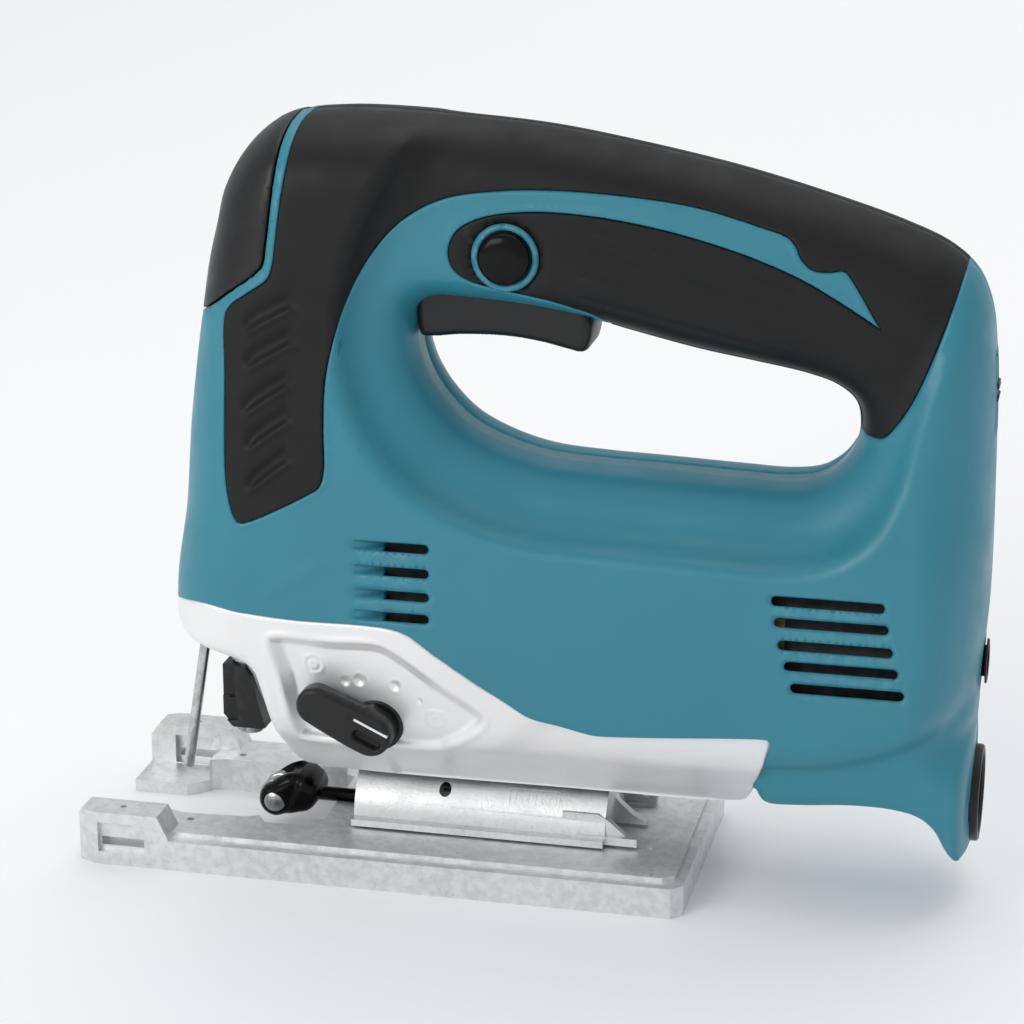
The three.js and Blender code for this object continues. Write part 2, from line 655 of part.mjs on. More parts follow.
function lockButton() {
  return turned(
    [[0, -22.4], [4.6, -22.4], [6.4, -21.4], [7, -20], [7, -15.5], [0, -15.5]],
    "y",
    [BUTTON[0], 0, BUTTON[1]],
    24,
  );
}

function speedDial() {
  const wheel = rod(11, -3, 3, "y", [0, 0, 0], 40);
  const grooves = [];
  for (let i = 0; i < 20; i += 1) {
    grooves.push(solidOf(block(-0.7, 0.7, -5, 5, 10.3, 13).rotateY((i * Math.PI) / 10)));
  }
  return wheel.subtract(union(...grooves)).subtract(rod(2, -5, 5, "y", [0, 0, 0], 12));
}

function cordInlet() {
  const at = [0, 0, INLET_Z];
  return tube(4.2, 7, 116, 128, "x", at).add(tube(4.2, 9.5, 114, 117.5, "x", at));
}

function dustPort() {
  return tube(10.8, 12.3, 104, 128, "x", [0, 0, PORT_Z], 24);
}

function housingScrew(x, z) {
  const head = rod(SCREW_HEAD_R, 12.3, 14.4, "y", [x, 0, z], 12);
  const socket = rod(1.5, 13.2, 16, "y", [x, 0, z], 6);
  return head.subtract(socket).add(rod(SCREW_R, -12, 12.6, "y", [x, 0, z], 8));
}

// ---- assembly ----
const root = new THREE.Group();
const tool = new THREE.Group();
tool.position.x = SHIFT_X;
root.add(tool);

function add(name, solid, look, at = [0, 0, 0]) {
  const welded = largest(solidOf(geometryOf(solid), 2e-3));
  const mesh = new THREE.Mesh(geometryOf(welded), new THREE.MeshStandardMaterial(look));
  mesh.name = name;
  mesh.position.set(...at);
  tool.add(mesh);
}

add("housing_left", housing(-1), TEAL);
add("housing_right", housing(1), TEAL);
add("grip_left", grip(-1), RUBBER);
add("grip_right", grip(1), RUBBER);
add("tool_opener", opener(), RUBBER);
add("opener_pin", rod(1.3, 151, 195, "z", [...HINGE, 0], 12), STEEL);
add("gear_housing", gearHousing(), CASTING);
add("finger_guard", wire(WIRE_R), STEEL);
add("orbit_selector", selector(), BLACK, [SELECTOR[0], -28.9, SELECTOR[1]]);
add("blade_clamp", bladeClamp(), STEEL);
add("clamp_collar", clampCollar(), BLACK, [PLUNGER_X, 0, 0]);
add("plunger", plunger(), STEEL);
add(
  "plunger_bush_lower",
  tube(ROD_R + GAP, BUSH.r, BUSH.low, BUSH.high, "z", [PLUNGER_X, 0, 0], 24),
  BRONZE,
);
add(
  "plunger_bush_upper",
  box(-84.6, -69, -17, 17, 128, 137).subtract(rod(ROD_R + GAP, 120, 150, "z", [PLUNGER_X, 0, 0])),
  BRONZE,
);
add("counterweight", counterweight(), IRON);
add("crank_gear", crankGear(), IRON);
add("crank_pin", rod(3, -59.5, -38.5, "x", [0, 0, GEAR_Z - CRANK_R], 20), STEEL);
add("gear_pin", rod(4, -46.5, -27.4, "x", [0, 0, GEAR_Z]), STEEL);
add("bearing_plate", bearingPlate(), CASTING);
add("pinion", gear(8, PINION_R, 0.8, -47, -34, MOTOR_Z, 0), STEEL);
add("bearing_front", ballBearing(-30.7, 3.6 + GAP, 11), STEEL);
add("bearing_rear", ballBearing(88, 3.6 + GAP, 10), STEEL);
add("cooling_fan", fan(), BLACK);
add("armature", armature(), IRON);
add("commutator", tube(3.6 + GAP, 11, 62, 80, "x", [0, 0, MOTOR_Z], 24), COPPER);
add("field_stator", stator(), IRON);
for (const [word, sign] of [["left", -1], ["right", 1]]) {
  add(`brush_holder_${word}`, brushHolder(sign), BRONZE);
  add(`carbon_brush_${word}`, brush(sign), CARBON);
}
add("switch_module", box(-18, 30, -11.5, 11.5, 169, 190), BLACK);
add("speed_controller", box(101, 105.6, -11, 11, 106, 127), BLACK);
add("trigger", trigger(), BLACK);
add("lock_button", lockButton(), BLACK);
add("speed_dial", speedDial(), BLACK, [DIAL[0], 0, DIAL[1]]);
add("cord_inlet", cordInlet(), RUBBER);
add("dust_port", dustPort(), RUBBER);
add("roller_holder", rollerHolder(), BLACK);
add("blade_roller", roller(), STEEL);
add("roller_pin", rod(1.6, -8, 8, "y", [ROLLER[0], 0, ROLLER[1]], 16), STEEL);
add("base_plate", basePlate(), ALUMINIUM);
add("bevel_saddle", bevelSaddle(), ALUMINIUM);
add("base_clamp_block", clampBlock(), ALUMINIUM);
add("base_bolt", baseBolt(), STEEL);
[-1, 1].forEach((s, i) => {
  const at = [0, s * CASE_SCREW.y, CASE_SCREW.z];
  const head = rod(3, -25.1, -22.8, "x", at, 16);
  const socket = rod(1.4, -24, -20, "x", at, 6);
  const shank = rod(SCREW_R, -37.6, -24.9, "x", at, 12);
  add(`gear_case_screw_${i + 1}`, head.subtract(socket).add(shank), STEEL);
});
SCREWS.forEach(([x, z], i) => add(`housing_screw_${i + 1}`, housingScrew(x, z), STEEL));

export default root;
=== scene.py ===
import json
import math

import bmesh
import bpy
import numpy as np
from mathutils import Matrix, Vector, geometry


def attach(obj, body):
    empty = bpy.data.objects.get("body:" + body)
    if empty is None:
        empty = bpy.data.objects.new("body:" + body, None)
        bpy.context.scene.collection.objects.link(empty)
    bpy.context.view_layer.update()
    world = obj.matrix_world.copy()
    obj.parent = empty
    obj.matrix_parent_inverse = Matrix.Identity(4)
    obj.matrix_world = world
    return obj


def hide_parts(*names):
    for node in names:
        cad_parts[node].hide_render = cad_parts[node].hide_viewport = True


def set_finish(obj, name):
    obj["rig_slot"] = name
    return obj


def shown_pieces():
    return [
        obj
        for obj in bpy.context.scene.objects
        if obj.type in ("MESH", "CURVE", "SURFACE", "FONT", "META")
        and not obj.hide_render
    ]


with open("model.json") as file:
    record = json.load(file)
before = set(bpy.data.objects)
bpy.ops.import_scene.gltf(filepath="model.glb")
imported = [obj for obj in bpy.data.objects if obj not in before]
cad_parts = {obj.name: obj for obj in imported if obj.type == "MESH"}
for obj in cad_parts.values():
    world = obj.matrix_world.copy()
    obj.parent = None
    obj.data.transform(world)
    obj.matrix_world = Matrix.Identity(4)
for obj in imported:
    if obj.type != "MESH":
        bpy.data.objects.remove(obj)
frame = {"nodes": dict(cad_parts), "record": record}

# Design lengths are millimetres: x rearwards, y to the tool's right side, z up from the sole.
# The CAD frame is in metres, with x moved by SHIFT.
MM = 0.001
SHIFT = -5.0
LEFT, RIGHT = -1.0, 1.0
SIDES = (("left", LEFT), ("right", RIGHT))
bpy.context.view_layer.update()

# Places that several pieces share.
PLUNGER_X = -77.5
TILT_Z = 10.5
SADDLE_R = 16.5
BUTTON = (0.6, 172.9)
BUTTON_HOLE, BUTTON_SEAT = 7.35, 9.0
HINGE, HINGE_R, HINGE_Z = (-63.6, 21.2), 9.2, (158, 188)
CLAMP_HOLE_R = 10.9
PORT_Z, GLAND_Z, DIAL_X, DIAL_Z = 28.2, 66, 116.6, 140.5
# Half-widths below this belong to the rounded rim of the body, which takes no raised detail.
RIM_WIDTH = 3
# Points closer than this to an outline lie on it.
ON_LINE = 0.03
# Depth of the black sheets behind the vents, which paint the shade inside the vents.
SHADE_SCREEN_Y = (26.2, 26.9)


def metres(points):
    p = np.asarray(points, float).reshape(-1, 3).copy()
    p[:, 0] += SHIFT
    return p * MM


# ---------------------------------------------------------------- curves and fields
def hermite(xs, ys):
    """Monotone cubic curve through the given points, flat beyond both ends."""
    xs, ys = np.asarray(xs, float), np.asarray(ys, float)
    step = np.diff(xs)
    slope = np.diff(ys) / step
    m = np.zeros(len(xs))
    inner = slope[:-1] * slope[1:] > 0
    m[1:-1][inner] = 2 / (1 / slope[:-1][inner] + 1 / slope[1:][inner])
    m[0], m[-1] = slope[0], slope[-1]

    def at(v):
        v = np.clip(v, xs[0], xs[-1])
        i = np.clip(np.searchsorted(xs, v, side="right") - 1, 0, len(step) - 1)
        t = (v - xs[i]) / step[i]
        h = step[i]
        return (
            ys[i] * (1 + 2 * t) * (1 - t) ** 2
            + h * m[i] * t * (1 - t) ** 2
            + ys[i + 1] * t * t * (3 - 2 * t)
            + h * m[i + 1] * t * t * (t - 1)
        )

    return at


def ease(a, b, v):
    """Smooth step from 0 at a to 1 at b."""
    t = np.clip((np.asarray(v, float) - a) / (b - a), 0, 1)
    return t * t * (3 - 2 * t)


def smin(a, b, k):
    """Minimum of two fields, blended where they differ by less than k."""
    h = np.clip(0.5 + 0.5 * (b - a) / k, 0, 1)
    return b * (1 - h) + a * h - k * h * (1 - h)


def smax(a, b, k):
    return -smin(-a, -b, k)


def rounding(d, length, power):
    """Share of the full half-width at a distance d in from an edge that is rounded over length."""
    u = 1 - np.clip(np.maximum(d, 0) / length, 0, 1)
    return np.maximum(1 - u**power, 0) ** (1 / power)


def edge_fall(d, radius):
    """Rounds the edge of a raised piece: how far the surface drops at d from its outline."""
    t = np.clip(1 - d / radius, 0, 1)
    return radius * (1 - np.sqrt(np.maximum(1 - t * t, 0)))


def hump(v, centre, width):
    """Bell curve, 1 at its centre."""
    return np.exp(-(((v - centre) / width) ** 2))


def spline(points, step=1.2, closed=False):
    """Evenly spaced points on a smooth curve; a point given twice in a row is a sharp corner."""
    runs, run = [], [points[0]]
    ring = list(points) + ([points[0]] if closed else [])
    for p, q in zip(ring, ring[1:]):
        if tuple(p) == tuple(q):
            runs.append(run)
            run = [q]
        else:
            run.append(q)
    runs.append(run)
    out = []
    for run in runs:
        if len(run) < 2:
            continue
        p = np.asarray(run, float)
        smooth_ring = closed and len(runs) == 1
        before = p[-2] if smooth_ring else 2 * p[0] - p[1]
        after = p[1] if smooth_ring else 2 * p[-1] - p[-2]
        q = np.vstack([before, p, after])
        fine = []
        for i in range(1, len(q) - 2):
            a, b, c, d = q[i - 1], q[i], q[i + 1], q[i + 2]
            k = [0.0]
            for u, v in ((a, b), (b, c), (c, d)):
                k.append(k[-1] + max(np.linalg.norm(v - u), 1e-6) ** 0.5)
            for t in np.linspace(k[1], k[2], 12, endpoint=False):
                a1 = a + (b - a) * (t - k[0]) / (k[1] - k[0])
                a2 = b + (c - b) * (t - k[1]) / (k[2] - k[1])
                a3 = c + (d - c) * (t - k[2]) / (k[3] - k[2])
                b1 = a1 + (a2 - a1) * (t - k[0]) / (k[2] - k[0])
                b2 = a2 + (a3 - a2) * (t - k[1]) / (k[3] - k[1])
                fine.append(b1 + (b2 - b1) * (t - k[1]) / (k[2] - k[1]))
        fine.append(p[-1])
        fine = np.array(fine)
        along = np.concatenate([[0], np.cumsum(np.linalg.norm(np.diff(fine, axis=0), axis=1))])
        count = max(1, round(along[-1] / step))
        s = np.linspace(0, along[-1], count + 1)
        even = np.column_stack([np.interp(s, along, fine[:, i]) for i in range(2)])
        out.extend(even[:-1].tolist())
    if not closed:
        out.append(list(map(float, points[-1])))
    return np.array(out)


def segments(line, closed):
    ends = np.roll(line, -1, axis=0) if closed else line[1:]
    return (line if closed else line[:-1]), ends


def distance(p, line, closed=True):
    a, b = segments(line, closed)
    best = np.full(len(p), 1e9)
    for i in range(0, len(a), 40):
        s, e = a[i : i + 40], b[i : i + 40]
        d = e - s
        rel = p[:, None, :] - s[None]
        t = np.clip((rel * d).sum(-1) / np.maximum((d * d).sum(-1), 1e-12), 0, 1)
        best = np.minimum(best, np.linalg.norm(rel - t[..., None] * d, axis=-1).min(1))
    return best


def inside(p, line):
    a, b = segments(line, True)
    x, z = p[:, 0][:, None], p[:, 1][:, None]
    hit = np.zeros(len(p), int)
    for i in range(0, len(a), 60):
        s, e = a[i : i + 60], b[i : i + 60]
        cross = (s[:, 1] > z) != (e[:, 1] > z)
        rise = np.where(np.abs(e[:, 1] - s[:, 1]) < 1e-12, 1e-12, e[:, 1] - s[:, 1])
        at = s[:, 0] + (z - s[:, 1]) * (e[:, 0] - s[:, 0]) / rise
        hit += (cross & (x < at)).sum(1)
    return hit % 2 == 1


def signed(p, line):
    """Distance to a closed outline, positive inside it."""
    return np.where(inside(p, line), 1, -1) * distance(p, line)


# ---------------------------------------------------------------- outlines of the side view
NOSE = [
    (-94, 72.7), (-93.4, 81.5), (-90.5, 99.5), (-88.7, 122.5), (-86.3, 142.5), (-84.4, 155.5),
    (-82.3, 168.4), (-80, 178), (-78.3, 185.5), (-75.2, 192.3), (-71, 198.3), (-66.4, 202.6),
]
CROWN = [
    (-61.5, 205.3), (-48.7, 207), (-36.7, 207.3), (-16.6, 206.5), (8.5, 204.6), (32, 200.9),
    (60.2, 195.2), (88, 187.6), (102, 183), (113.5, 178), (120.5, 172), (124.5, 163.4),
    (126.4, 150), (127.2, 130), (127.6, 108), (127.6, 84), (126.6, 66), (126, 50),
]
TAIL = [
    (126, 50), (126, 20), (125.6, 14.6), (122, 14.2), (118.8, 17.6), (116, 22.6), (112, 25.8),
    (106, 27.2), (95.4, 27.4), (82, 26.2), (73, 26), (69.8, 27.4), (68.3, 30.2),
]
SEAM = [
    (68.3, 30.2), (68.3, 30.2), (74.7, 49.6), (74.4, 50.6), (73, 50.9), (28.4, 47.6), (26, 47.9),
    (18.4, 49.7), (10.4, 51.4), (3.6, 55.4), (-6.6, 61.5), (-16.8, 68.1), (-22.3, 71.9),
    (-27, 73.5), (-33.9, 74.1), (-54.7, 74.1), (-68.6, 75.1), (-80, 76.6), (-87, 75.6),
    (-91.2, 73.9), (-94, 72.7),
]
HOLE = [
    (-26, 149), (-25.2, 143), (-22.8, 136.6), (-18.4, 130.2), (-12, 124.2), (-2, 119.4),
    (8.5, 116.6), (22, 115.5), (38, 115), (60, 114.2), (74, 114), (82, 115.5), (88, 120),
    (91.6, 126), (92.6, 131.5), (91.4, 137), (86.6, 141), (78.9, 143.6), (64.5, 146.2),
    (50, 148.6), (31.7, 152.6), (24, 154.4), (8, 157), (-10, 158.5), (-22, 158.2), (-25.4, 155),
]
OPENER_LINE = [
    (-92, 147.6), (-85.6, 152.4), (-79.7, 156.2), (-71.6, 162), (-64.4, 167.2), (-62.2, 169.8),
    (-61.3, 175.2), (-60, 185.8), (-58.9, 196.4), (-58.4, 212),
]
GRIP = [
    (-55.2, 214), (-55.2, 214), (-55.6, 196), (-57, 186), (-58.2, 177), (-59.2, 169.6),
    (-60.4, 166.4), (-66, 162.2), (-71, 158.6), (-72.8, 155.6), (-72.8, 140), (-72.7, 113),
    (-71.9, 107), (-70.6, 102.4), (-69.2, 100.4), (-67, 100.6), (-50.4, 109), (-46.8, 111.6),
    (-45.6, 115.6), (-45.6, 128.7), (-45.1, 139.7), (-43, 150.6), (-40, 161.5), (-35.4, 171.2),
    (-27.4, 181), (-16, 187.6), (-1, 190.4), (14.9, 191.1), (35.4, 190), (50.7, 188),
    (65.9, 184.1), (73.6, 181.6), (75.8, 179.6), (77.4, 176.4), (80.4, 173.8), (84.6, 173.4),
    (88.4, 173.8), (90.6, 171.4), (94.4, 165.4), (97.9, 159.4), (97.9, 159.4), (87, 166),
    (77.3, 171.2), (62, 177), (41.4, 182.2), (20.7, 185), (5, 185), (-6.8, 182.6),
    (-12.4, 179), (-14.4, 173.8), (-13, 169.2), (-8.6, 166), (0, 163.8), (10.4, 161.8),
    (18, 159.6), (23.2, 157.6), (25.6, 155), (27, 149), (30, 140), (80, 130), (92, 130.4),
    (96, 130.2), (99.6, 130.8), (102.9, 134.5), (107.6, 142.7), (113.2, 157.4),
    (117.5, 171.8), (121, 186), (121, 186), (120, 214), (120, 214),
]
# Everything above the hole's floor: the shoulder rises away from this outline.
REACH = HOLE[:14] + [
    (94, 134), (98, 146), (104, 160), (112, 190), (118, 260), (0, 260), (2, 230), (-6, 205),
    (-16, 188), (-23, 172), (-25.6, 160),
]
FLUTES = [
    ((24.2, 181.4), (77.2, 168)), ((23, 175.6), (77.4, 162.4)), ((20.4, 169.8), (77.6, 156.4)),
    ((19.2, 163.4), (77, 150.8)),
]
RIBS = [
    ((-66.1, 151.9), (-54.5, 158.5)), ((-65.8, 142.2), (-54.4, 149.1)),
    ((-66.6, 130.1), (-55.5, 137.7)), ((-65.8, 120.5), (-55.7, 128.1)),
    ((-65.5, 109.4), (-55.9, 117.1)),
]
# Vent slots: front end, rear end, height. The front ones are open only behind VENT_OPEN_X.
VENTS_FRONT = [(-38, -17, z) for z in (96.5, 89.7, 83.1, 77.0)]
VENT_OPEN_X = -29.6
VENTS_REAR = [
    (73.9, 103.1, 89.5), (74.8, 104.3, 83.7), (76, 105.6, 77.6), (77.7, 107.1, 71.9),
    (79.5, 108.9, 66),
]
# Soft raised lines on the head: one end, other end, height.
HEAD_LINES = [((-63.5, 79.5), (-43, 92), 0.55), ((-86, 93.2), (-71, 96.4), 0.3)]

# ---------------------------------------------------------------- half-width of the body
flank = hermite(
    [60, 80, 97, 110, 130, 150, 165, 190, 210], [33, 33, 32.9, 31.7, 30.4, 29.3, 28.4, 27, 26]
)
pillar = hermite([60, 92, 104, 116, 130, 150, 175], [33, 33, 30.6, 27, 25, 24, 22.5])
shoulder = hermite(
    [0, 0.25, 2, 6.5, 12, 15, 17, 19.5, 23.5, 30], [6, 8, 13, 18, 22, 26, 30, 32.4, 33, 33.4]
)
under = hermite([-8, -3, 0, 3, 7, 12, 20], [6, 18, 25, 28.6, 31.2, 32.6, 33.2])
crease = hermite([0, 28, 55, 82, 100, 116, 128], [41, 41, 40, 40.8, 44.8, 52.4, 64])
HANDLE_HALF = 18.7

rim_line = spline(NOSE + CROWN, 2.0)
tail_line = spline(TAIL, 2.0)
hole_line = spline(HOLE, 1.5, True)
reach_line = spline(REACH, 2.0, True)


def half_width(p):
    """Half-width of the plastic body at side view points p, before any fine detail."""
    x, z = p[:, 0], p[:, 1]
    side = flank(z) * (1 - ease(70, 112, x)) + pillar(z) * ease(70, 112, x)
    duct = 23.6 - 1.2 * ease(40, 26, z)
    low = smax(under(z - crease(x)), duct, 2.5)
    side = smin(side, low, 3.0)
    bulge = 0.55 * ease(0, -3, z - (97.2 - 0.12 * (x + 84))) * ease(-58, -72, x)
    away = np.where(inside(p, reach_line), 0, distance(p, reach_line))
    bar = HANDLE_HALF * rounding(distance(p, hole_line), 12, 2.2)
    core = smax(bar, shoulder(away), 1.6)
    wide = smin(core, side + bulge, 2.6)
    for (ax, az), (bx, bz), tall in HEAD_LINES:
        run_x, run_z = bx - ax, bz - az
        t = np.clip(((x - ax) * run_x + (z - az) * run_z) / (run_x**2 + run_z**2), 0, 1)
        off = np.hypot(x - ax - t * run_x, z - az - t * run_z)
        wide = wide + tall * np.sqrt(np.maximum(t * (1 - t) * 4, 0)) * hump(off, 0, 1.5)
    front = ease(-40, -66, x) * ease(206, 176, z)
    length = 17.5 + 7.5 * front + 4 * ease(105, 122, x)
    power = 2.2 + 0.4 * front
    edge = distance(p, rim_line, False)
    foot = distance(p, tail_line, False)
    return wide * rounding(edge, length, power) * rounding(foot, 5.5, 2.6)


# ---------------------------------------------------------------- meshes
def new_object(name, verts, faces, body, slot, nodes=(), smooth=True):
    mesh = bpy.data.meshes.new(name)
    mesh.from_pydata([tuple(v) for v in metres(verts)], [], [tuple(map(int, f)) for f in faces])
    mesh.validate()
    mesh.polygons.foreach_set("use_smooth", [smooth] * len(mesh.polygons))
    obj = bpy.data.objects.new(name, mesh)
    bpy.context.scene.collection.objects.link(obj)
    return settle(obj, body, slot, nodes)


def settle(obj, body, slot, nodes=()):
    """Rides a piece on its body, names its material slot and hides the CAD nodes it stands for."""
    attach(obj, body)
    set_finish(obj, slot)
    if nodes:
        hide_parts(*nodes)
    return obj


def solidify(obj, thickness, rim=True):
    mod = obj.modifiers.new("thickness", "SOLIDIFY")
    mod.thickness = thickness * MM
    mod.offset = -1
    mod.use_rim = rim
    mod.use_even_offset = False
    return obj


def bevel(obj, width, count=2, angle=30):
    """Rounds edges sharper than angle degrees by width millimetres."""
    mod = obj.modifiers.new("edges", "BEVEL")
    mod.width = width * MM
    mod.segments = count
    mod.limit_method = "ANGLE"
    mod.angle_limit = math.radians(angle)
    mod.harden_normals = True
    return obj


def nearest(p, line):
    """Closest point of a closed outline to each side view point."""
    a, b = line, np.roll(line, -1, axis=0)
    run = b - a
    size = np.maximum((run ** 2).sum(1), 1e-12)
    t = np.clip(((p[:, None, :] - a) * run).sum(2) / size, 0, 1)
    foot = a + t[..., None] * run
    pick = ((p[:, None, :] - foot) ** 2).sum(2).argmin(1)
    return foot[np.arange(len(p)), pick]


def keep_in(obj, line):
    """Applies the thickness and pulls corners that poke out of the side view back to it."""
    graph = bpy.context.evaluated_depsgraph_get()
    mesh = bpy.data.meshes.new_from_object(obj.evaluated_get(graph))
    obj.modifiers.clear()
    obj.data = mesh
    p = np.array([(v.co.x / MM - SHIFT, v.co.z / MM) for v in mesh.vertices])
    out = np.flatnonzero(signed(p, line) < 0.02)
    if len(out):
        for i, (x, z) in zip(out, nearest(p[out], line)):
            mesh.vertices[i].co.x, mesh.vertices[i].co.z = (x + SHIFT) * MM, z * MM
    return obj


def weld(obj):
    """Joins the two sides of a piece where they meet in the middle of the tool."""
    bm = bmesh.new()
    bm.from_mesh(obj.data)
    bmesh.ops.remove_doubles(bm, verts=bm.verts, dist=0.02 * MM)
    bm.to_mesh(obj.data)
    bm.free()
    return obj


def lathe(profile, axis, at, sides=64):
    """Turned solid from (radius, position) pairs; radius 0 closes an end."""
    verts, faces, rows = [], [], []
    for r, s in profile:
        row = []
        for i in range(1 if r == 0 else sides):
            a = 2 * math.pi * i / sides
            u, v = r * math.cos(a), r * math.sin(a)
            q = {"x": (s, u, v), "y": (u, s, v), "z": (u, v, s)}[axis]
            row.append(len(verts))
            verts.append(tuple(c + o for c, o in zip(q, at)))
        rows.append(row)
    pairs = list(zip(rows, rows[1:])) + ([(rows[-1], rows[0])] if profile[0][0] > 0 else [])
    for a, b in pairs:
        for i in range(sides):
            j = (i + 1) % sides
            quad = [a[i % len(a)], a[j % len(a)], b[j % len(b)], b[i % len(b)]]
            quad = list(dict.fromkeys(quad))
            if len(quad) > 2:
                faces.append(quad)
    return verts, faces


def raw(verts, faces):
    """A helper object that is used up by a cut or a join."""
    mesh = bpy.data.meshes.new("raw")
    mesh.from_pydata([tuple(v) for v in metres(verts)], [], [tuple(map(int, f)) for f in faces])
    bm = bmesh.new()
    bm.from_mesh(mesh)
    bmesh.ops.recalc_face_normals(bm, faces=bm.faces)
    bm.to_mesh(mesh)
    bm.free()
    obj = bpy.data.objects.new("raw", mesh)
    bpy.context.scene.collection.objects.link(obj)
    return obj


def bore(verts, faces, at, r, z0, z1):
    """Opens a skin where an upright round hole passes and pulls the new edge onto that hole."""
    mid = verts[faces].mean(1)
    gone = (np.hypot(mid[:, 0] - at[0], mid[:, 1] - at[1]) < r) & (mid[:, 2] > z0) & (mid[:, 2] < z1)
    edge = np.intersect1d(faces[gone], faces[~gone])
    verts = verts.copy()
    for i in edge:
        x, y, z = verts[i]
        if min(abs(z - z0), abs(z - z1)) < 1.2 and math.hypot(x - at[0], y - at[1]) < r - 1:
            verts[i, 2] = z0 if abs(z - z0) < abs(z - z1) else z1
        else:
            away = max(math.hypot(x - at[0], y - at[1]), 1e-6)
            verts[i, 0] = at[0] + (x - at[0]) * r / away
            verts[i, 1] = at[1] + (y - at[1]) * r / away
    used, back = np.unique(faces[~gone], return_inverse=True)
    return verts[used], back.reshape(-1, 3)


class Sheet:
    """One side of the body as a triangulated side view, cut along its outlines."""

    def __init__(self, outlines, points):
        verts, edges = [], []
        for line, closed in outlines:
            base, n = len(verts), len(line)
            verts.extend(line.tolist())
            edges.extend((base + i, base + (i + 1) % n) for i in range(n if closed else n - 1))
        verts.extend(points.tolist())
        result = geometry.delaunay_2d_cdt([Vector(v) for v in verts], edges, [], 0, 1e-4)
        self.p = np.array([tuple(v) for v in result[0]])
        self.f = np.array([f for f in result[2] if len(f) == 3])
        self.mid = self.p[self.f].mean(1)

    def part(self, keep):
        faces = self.f[keep]
        used, back = np.unique(faces, return_inverse=True)
        return self.p[used], back.reshape(-1, 3)


def lattice(x0, x1, z0, z1, step):
    rows = []
    for j, z in enumerate(np.arange(z0, z1, step * 0.866)):
        xs = np.arange(x0 + (j % 2) * step / 2, x1, step)
        rows.append(np.column_stack([xs, np.full(len(xs), z)]))
    return np.vstack(rows)


def rings(line, closed, gaps):
    """Rows of points beside a line, at the given distances, kept only where no other part is nearer."""
    after = np.roll(line, -1, axis=0) if closed else np.vstack([line[1:], 2 * line[-1] - line[-2]])
    before = np.roll(line, 1, axis=0) if closed else np.vstack([2 * line[0] - line[1], line[:-1]])
    run = after - before
    run /= np.maximum(np.linalg.norm(run, axis=1), 1e-9)[:, None]
    normal = np.column_stack([-run[:, 1], run[:, 0]])
    out = []
    for gap in gaps:
        for s in (-1, 1):
            q = line + normal * gap * s
            out.append(q[distance(q, line, closed) > abs(gap) * 0.97])
    return np.vstack(out)


def thin(points, lines, gap):
    keep = np.ones(len(points), bool)
    for line, closed in lines:
        keep &= distance(points, line, closed) > gap
    return points[keep]


def slot_line(x0, x1, z, half):
    """Round-ended slot."""
    turn = np.linspace(-math.pi / 2, math.pi / 2, 9)
    right = [(x1 - half + half * math.cos(a), z + half * math.sin(a)) for a in turn]
    left = [(x0 + half - half * math.cos(a), z - half * math.sin(a)) for a in turn]
    bottom = [(x, z - half) for x in np.arange(x0 + half + 1, x1 - half, 1.2)]
    top = [(x, z + half) for x in np.arange(x1 - half - 1, x0 + half, -1.2)]
    return np.array(bottom + right + top + left)


def relief(outline, left, right, points, step=0.8):
    """Closed solid from a side view outline: left and right give its half-widths at points."""
    line = spline(outline, step, True)
    sheet = Sheet([(line, True)], points[signed(points, line) > 0.12])
    p, faces = sheet.part(inside(sheet.mid, line))
    n = len(p)
    verts = np.vstack([
        np.column_stack([p[:, 0], -left(p), p[:, 1]]),
        np.column_stack([p[:, 0], right(p), p[:, 1]]),
    ])
    edges = np.vstack([faces[:, [0, 1]], faces[:, [1, 2]], faces[:, [2, 0]]])
    have = {tuple(e) for e in edges.tolist()}
    rim = [e for e in have if (e[1], e[0]) not in have]
    out = [list(f) for f in faces] + [[f[0] + n, f[2] + n, f[1] + n] for f in faces]
    out += [[b, a, a + n, b + n] for a, b in rim]
    return verts, out


def rect(u0, u1, v0, v1):
    return [(u0, v0), (u1, v0), (u1, v1), (u0, v1)]


def rod(r, s0, s1, axis, at, sides=24):
    return lathe([(0, s0), (r, s0), (r, s1), (0, s1)], axis, at, sides)


def prism(outline, a0, a1, axis="y"):
    """Straight solid: its outline is (x, z) along y, (x, y) along z or (y, z) along x."""
    n = len(outline)
    place = {
        "y": lambda u, v, s: (u, s, v), "z": lambda u, v, s: (u, v, s),
        "x": lambda u, v, s: (s, u, v),
    }[axis]
    verts = [place(u, v, a0) for u, v in outline] + [place(u, v, a1) for u, v in outline]
    faces = [list(range(n)), [n + i for i in reversed(range(n))]]
    faces += [[i, n + i, n + (i + 1) % n, (i + 1) % n] for i in range(n)]
    return verts, faces


def circle(x, z, r, count=32, start=0.0, end=2 * math.pi):
    full = abs(end - start) >= 2 * math.pi - 1e-6
    turn = np.linspace(start, end, count, endpoint=not full)
    return [(x + r * math.cos(a), z + r * math.sin(a)) for a in turn]


def cut(solid):
    return "DIFFERENCE", solid


def join(solid):
    return "UNION", solid


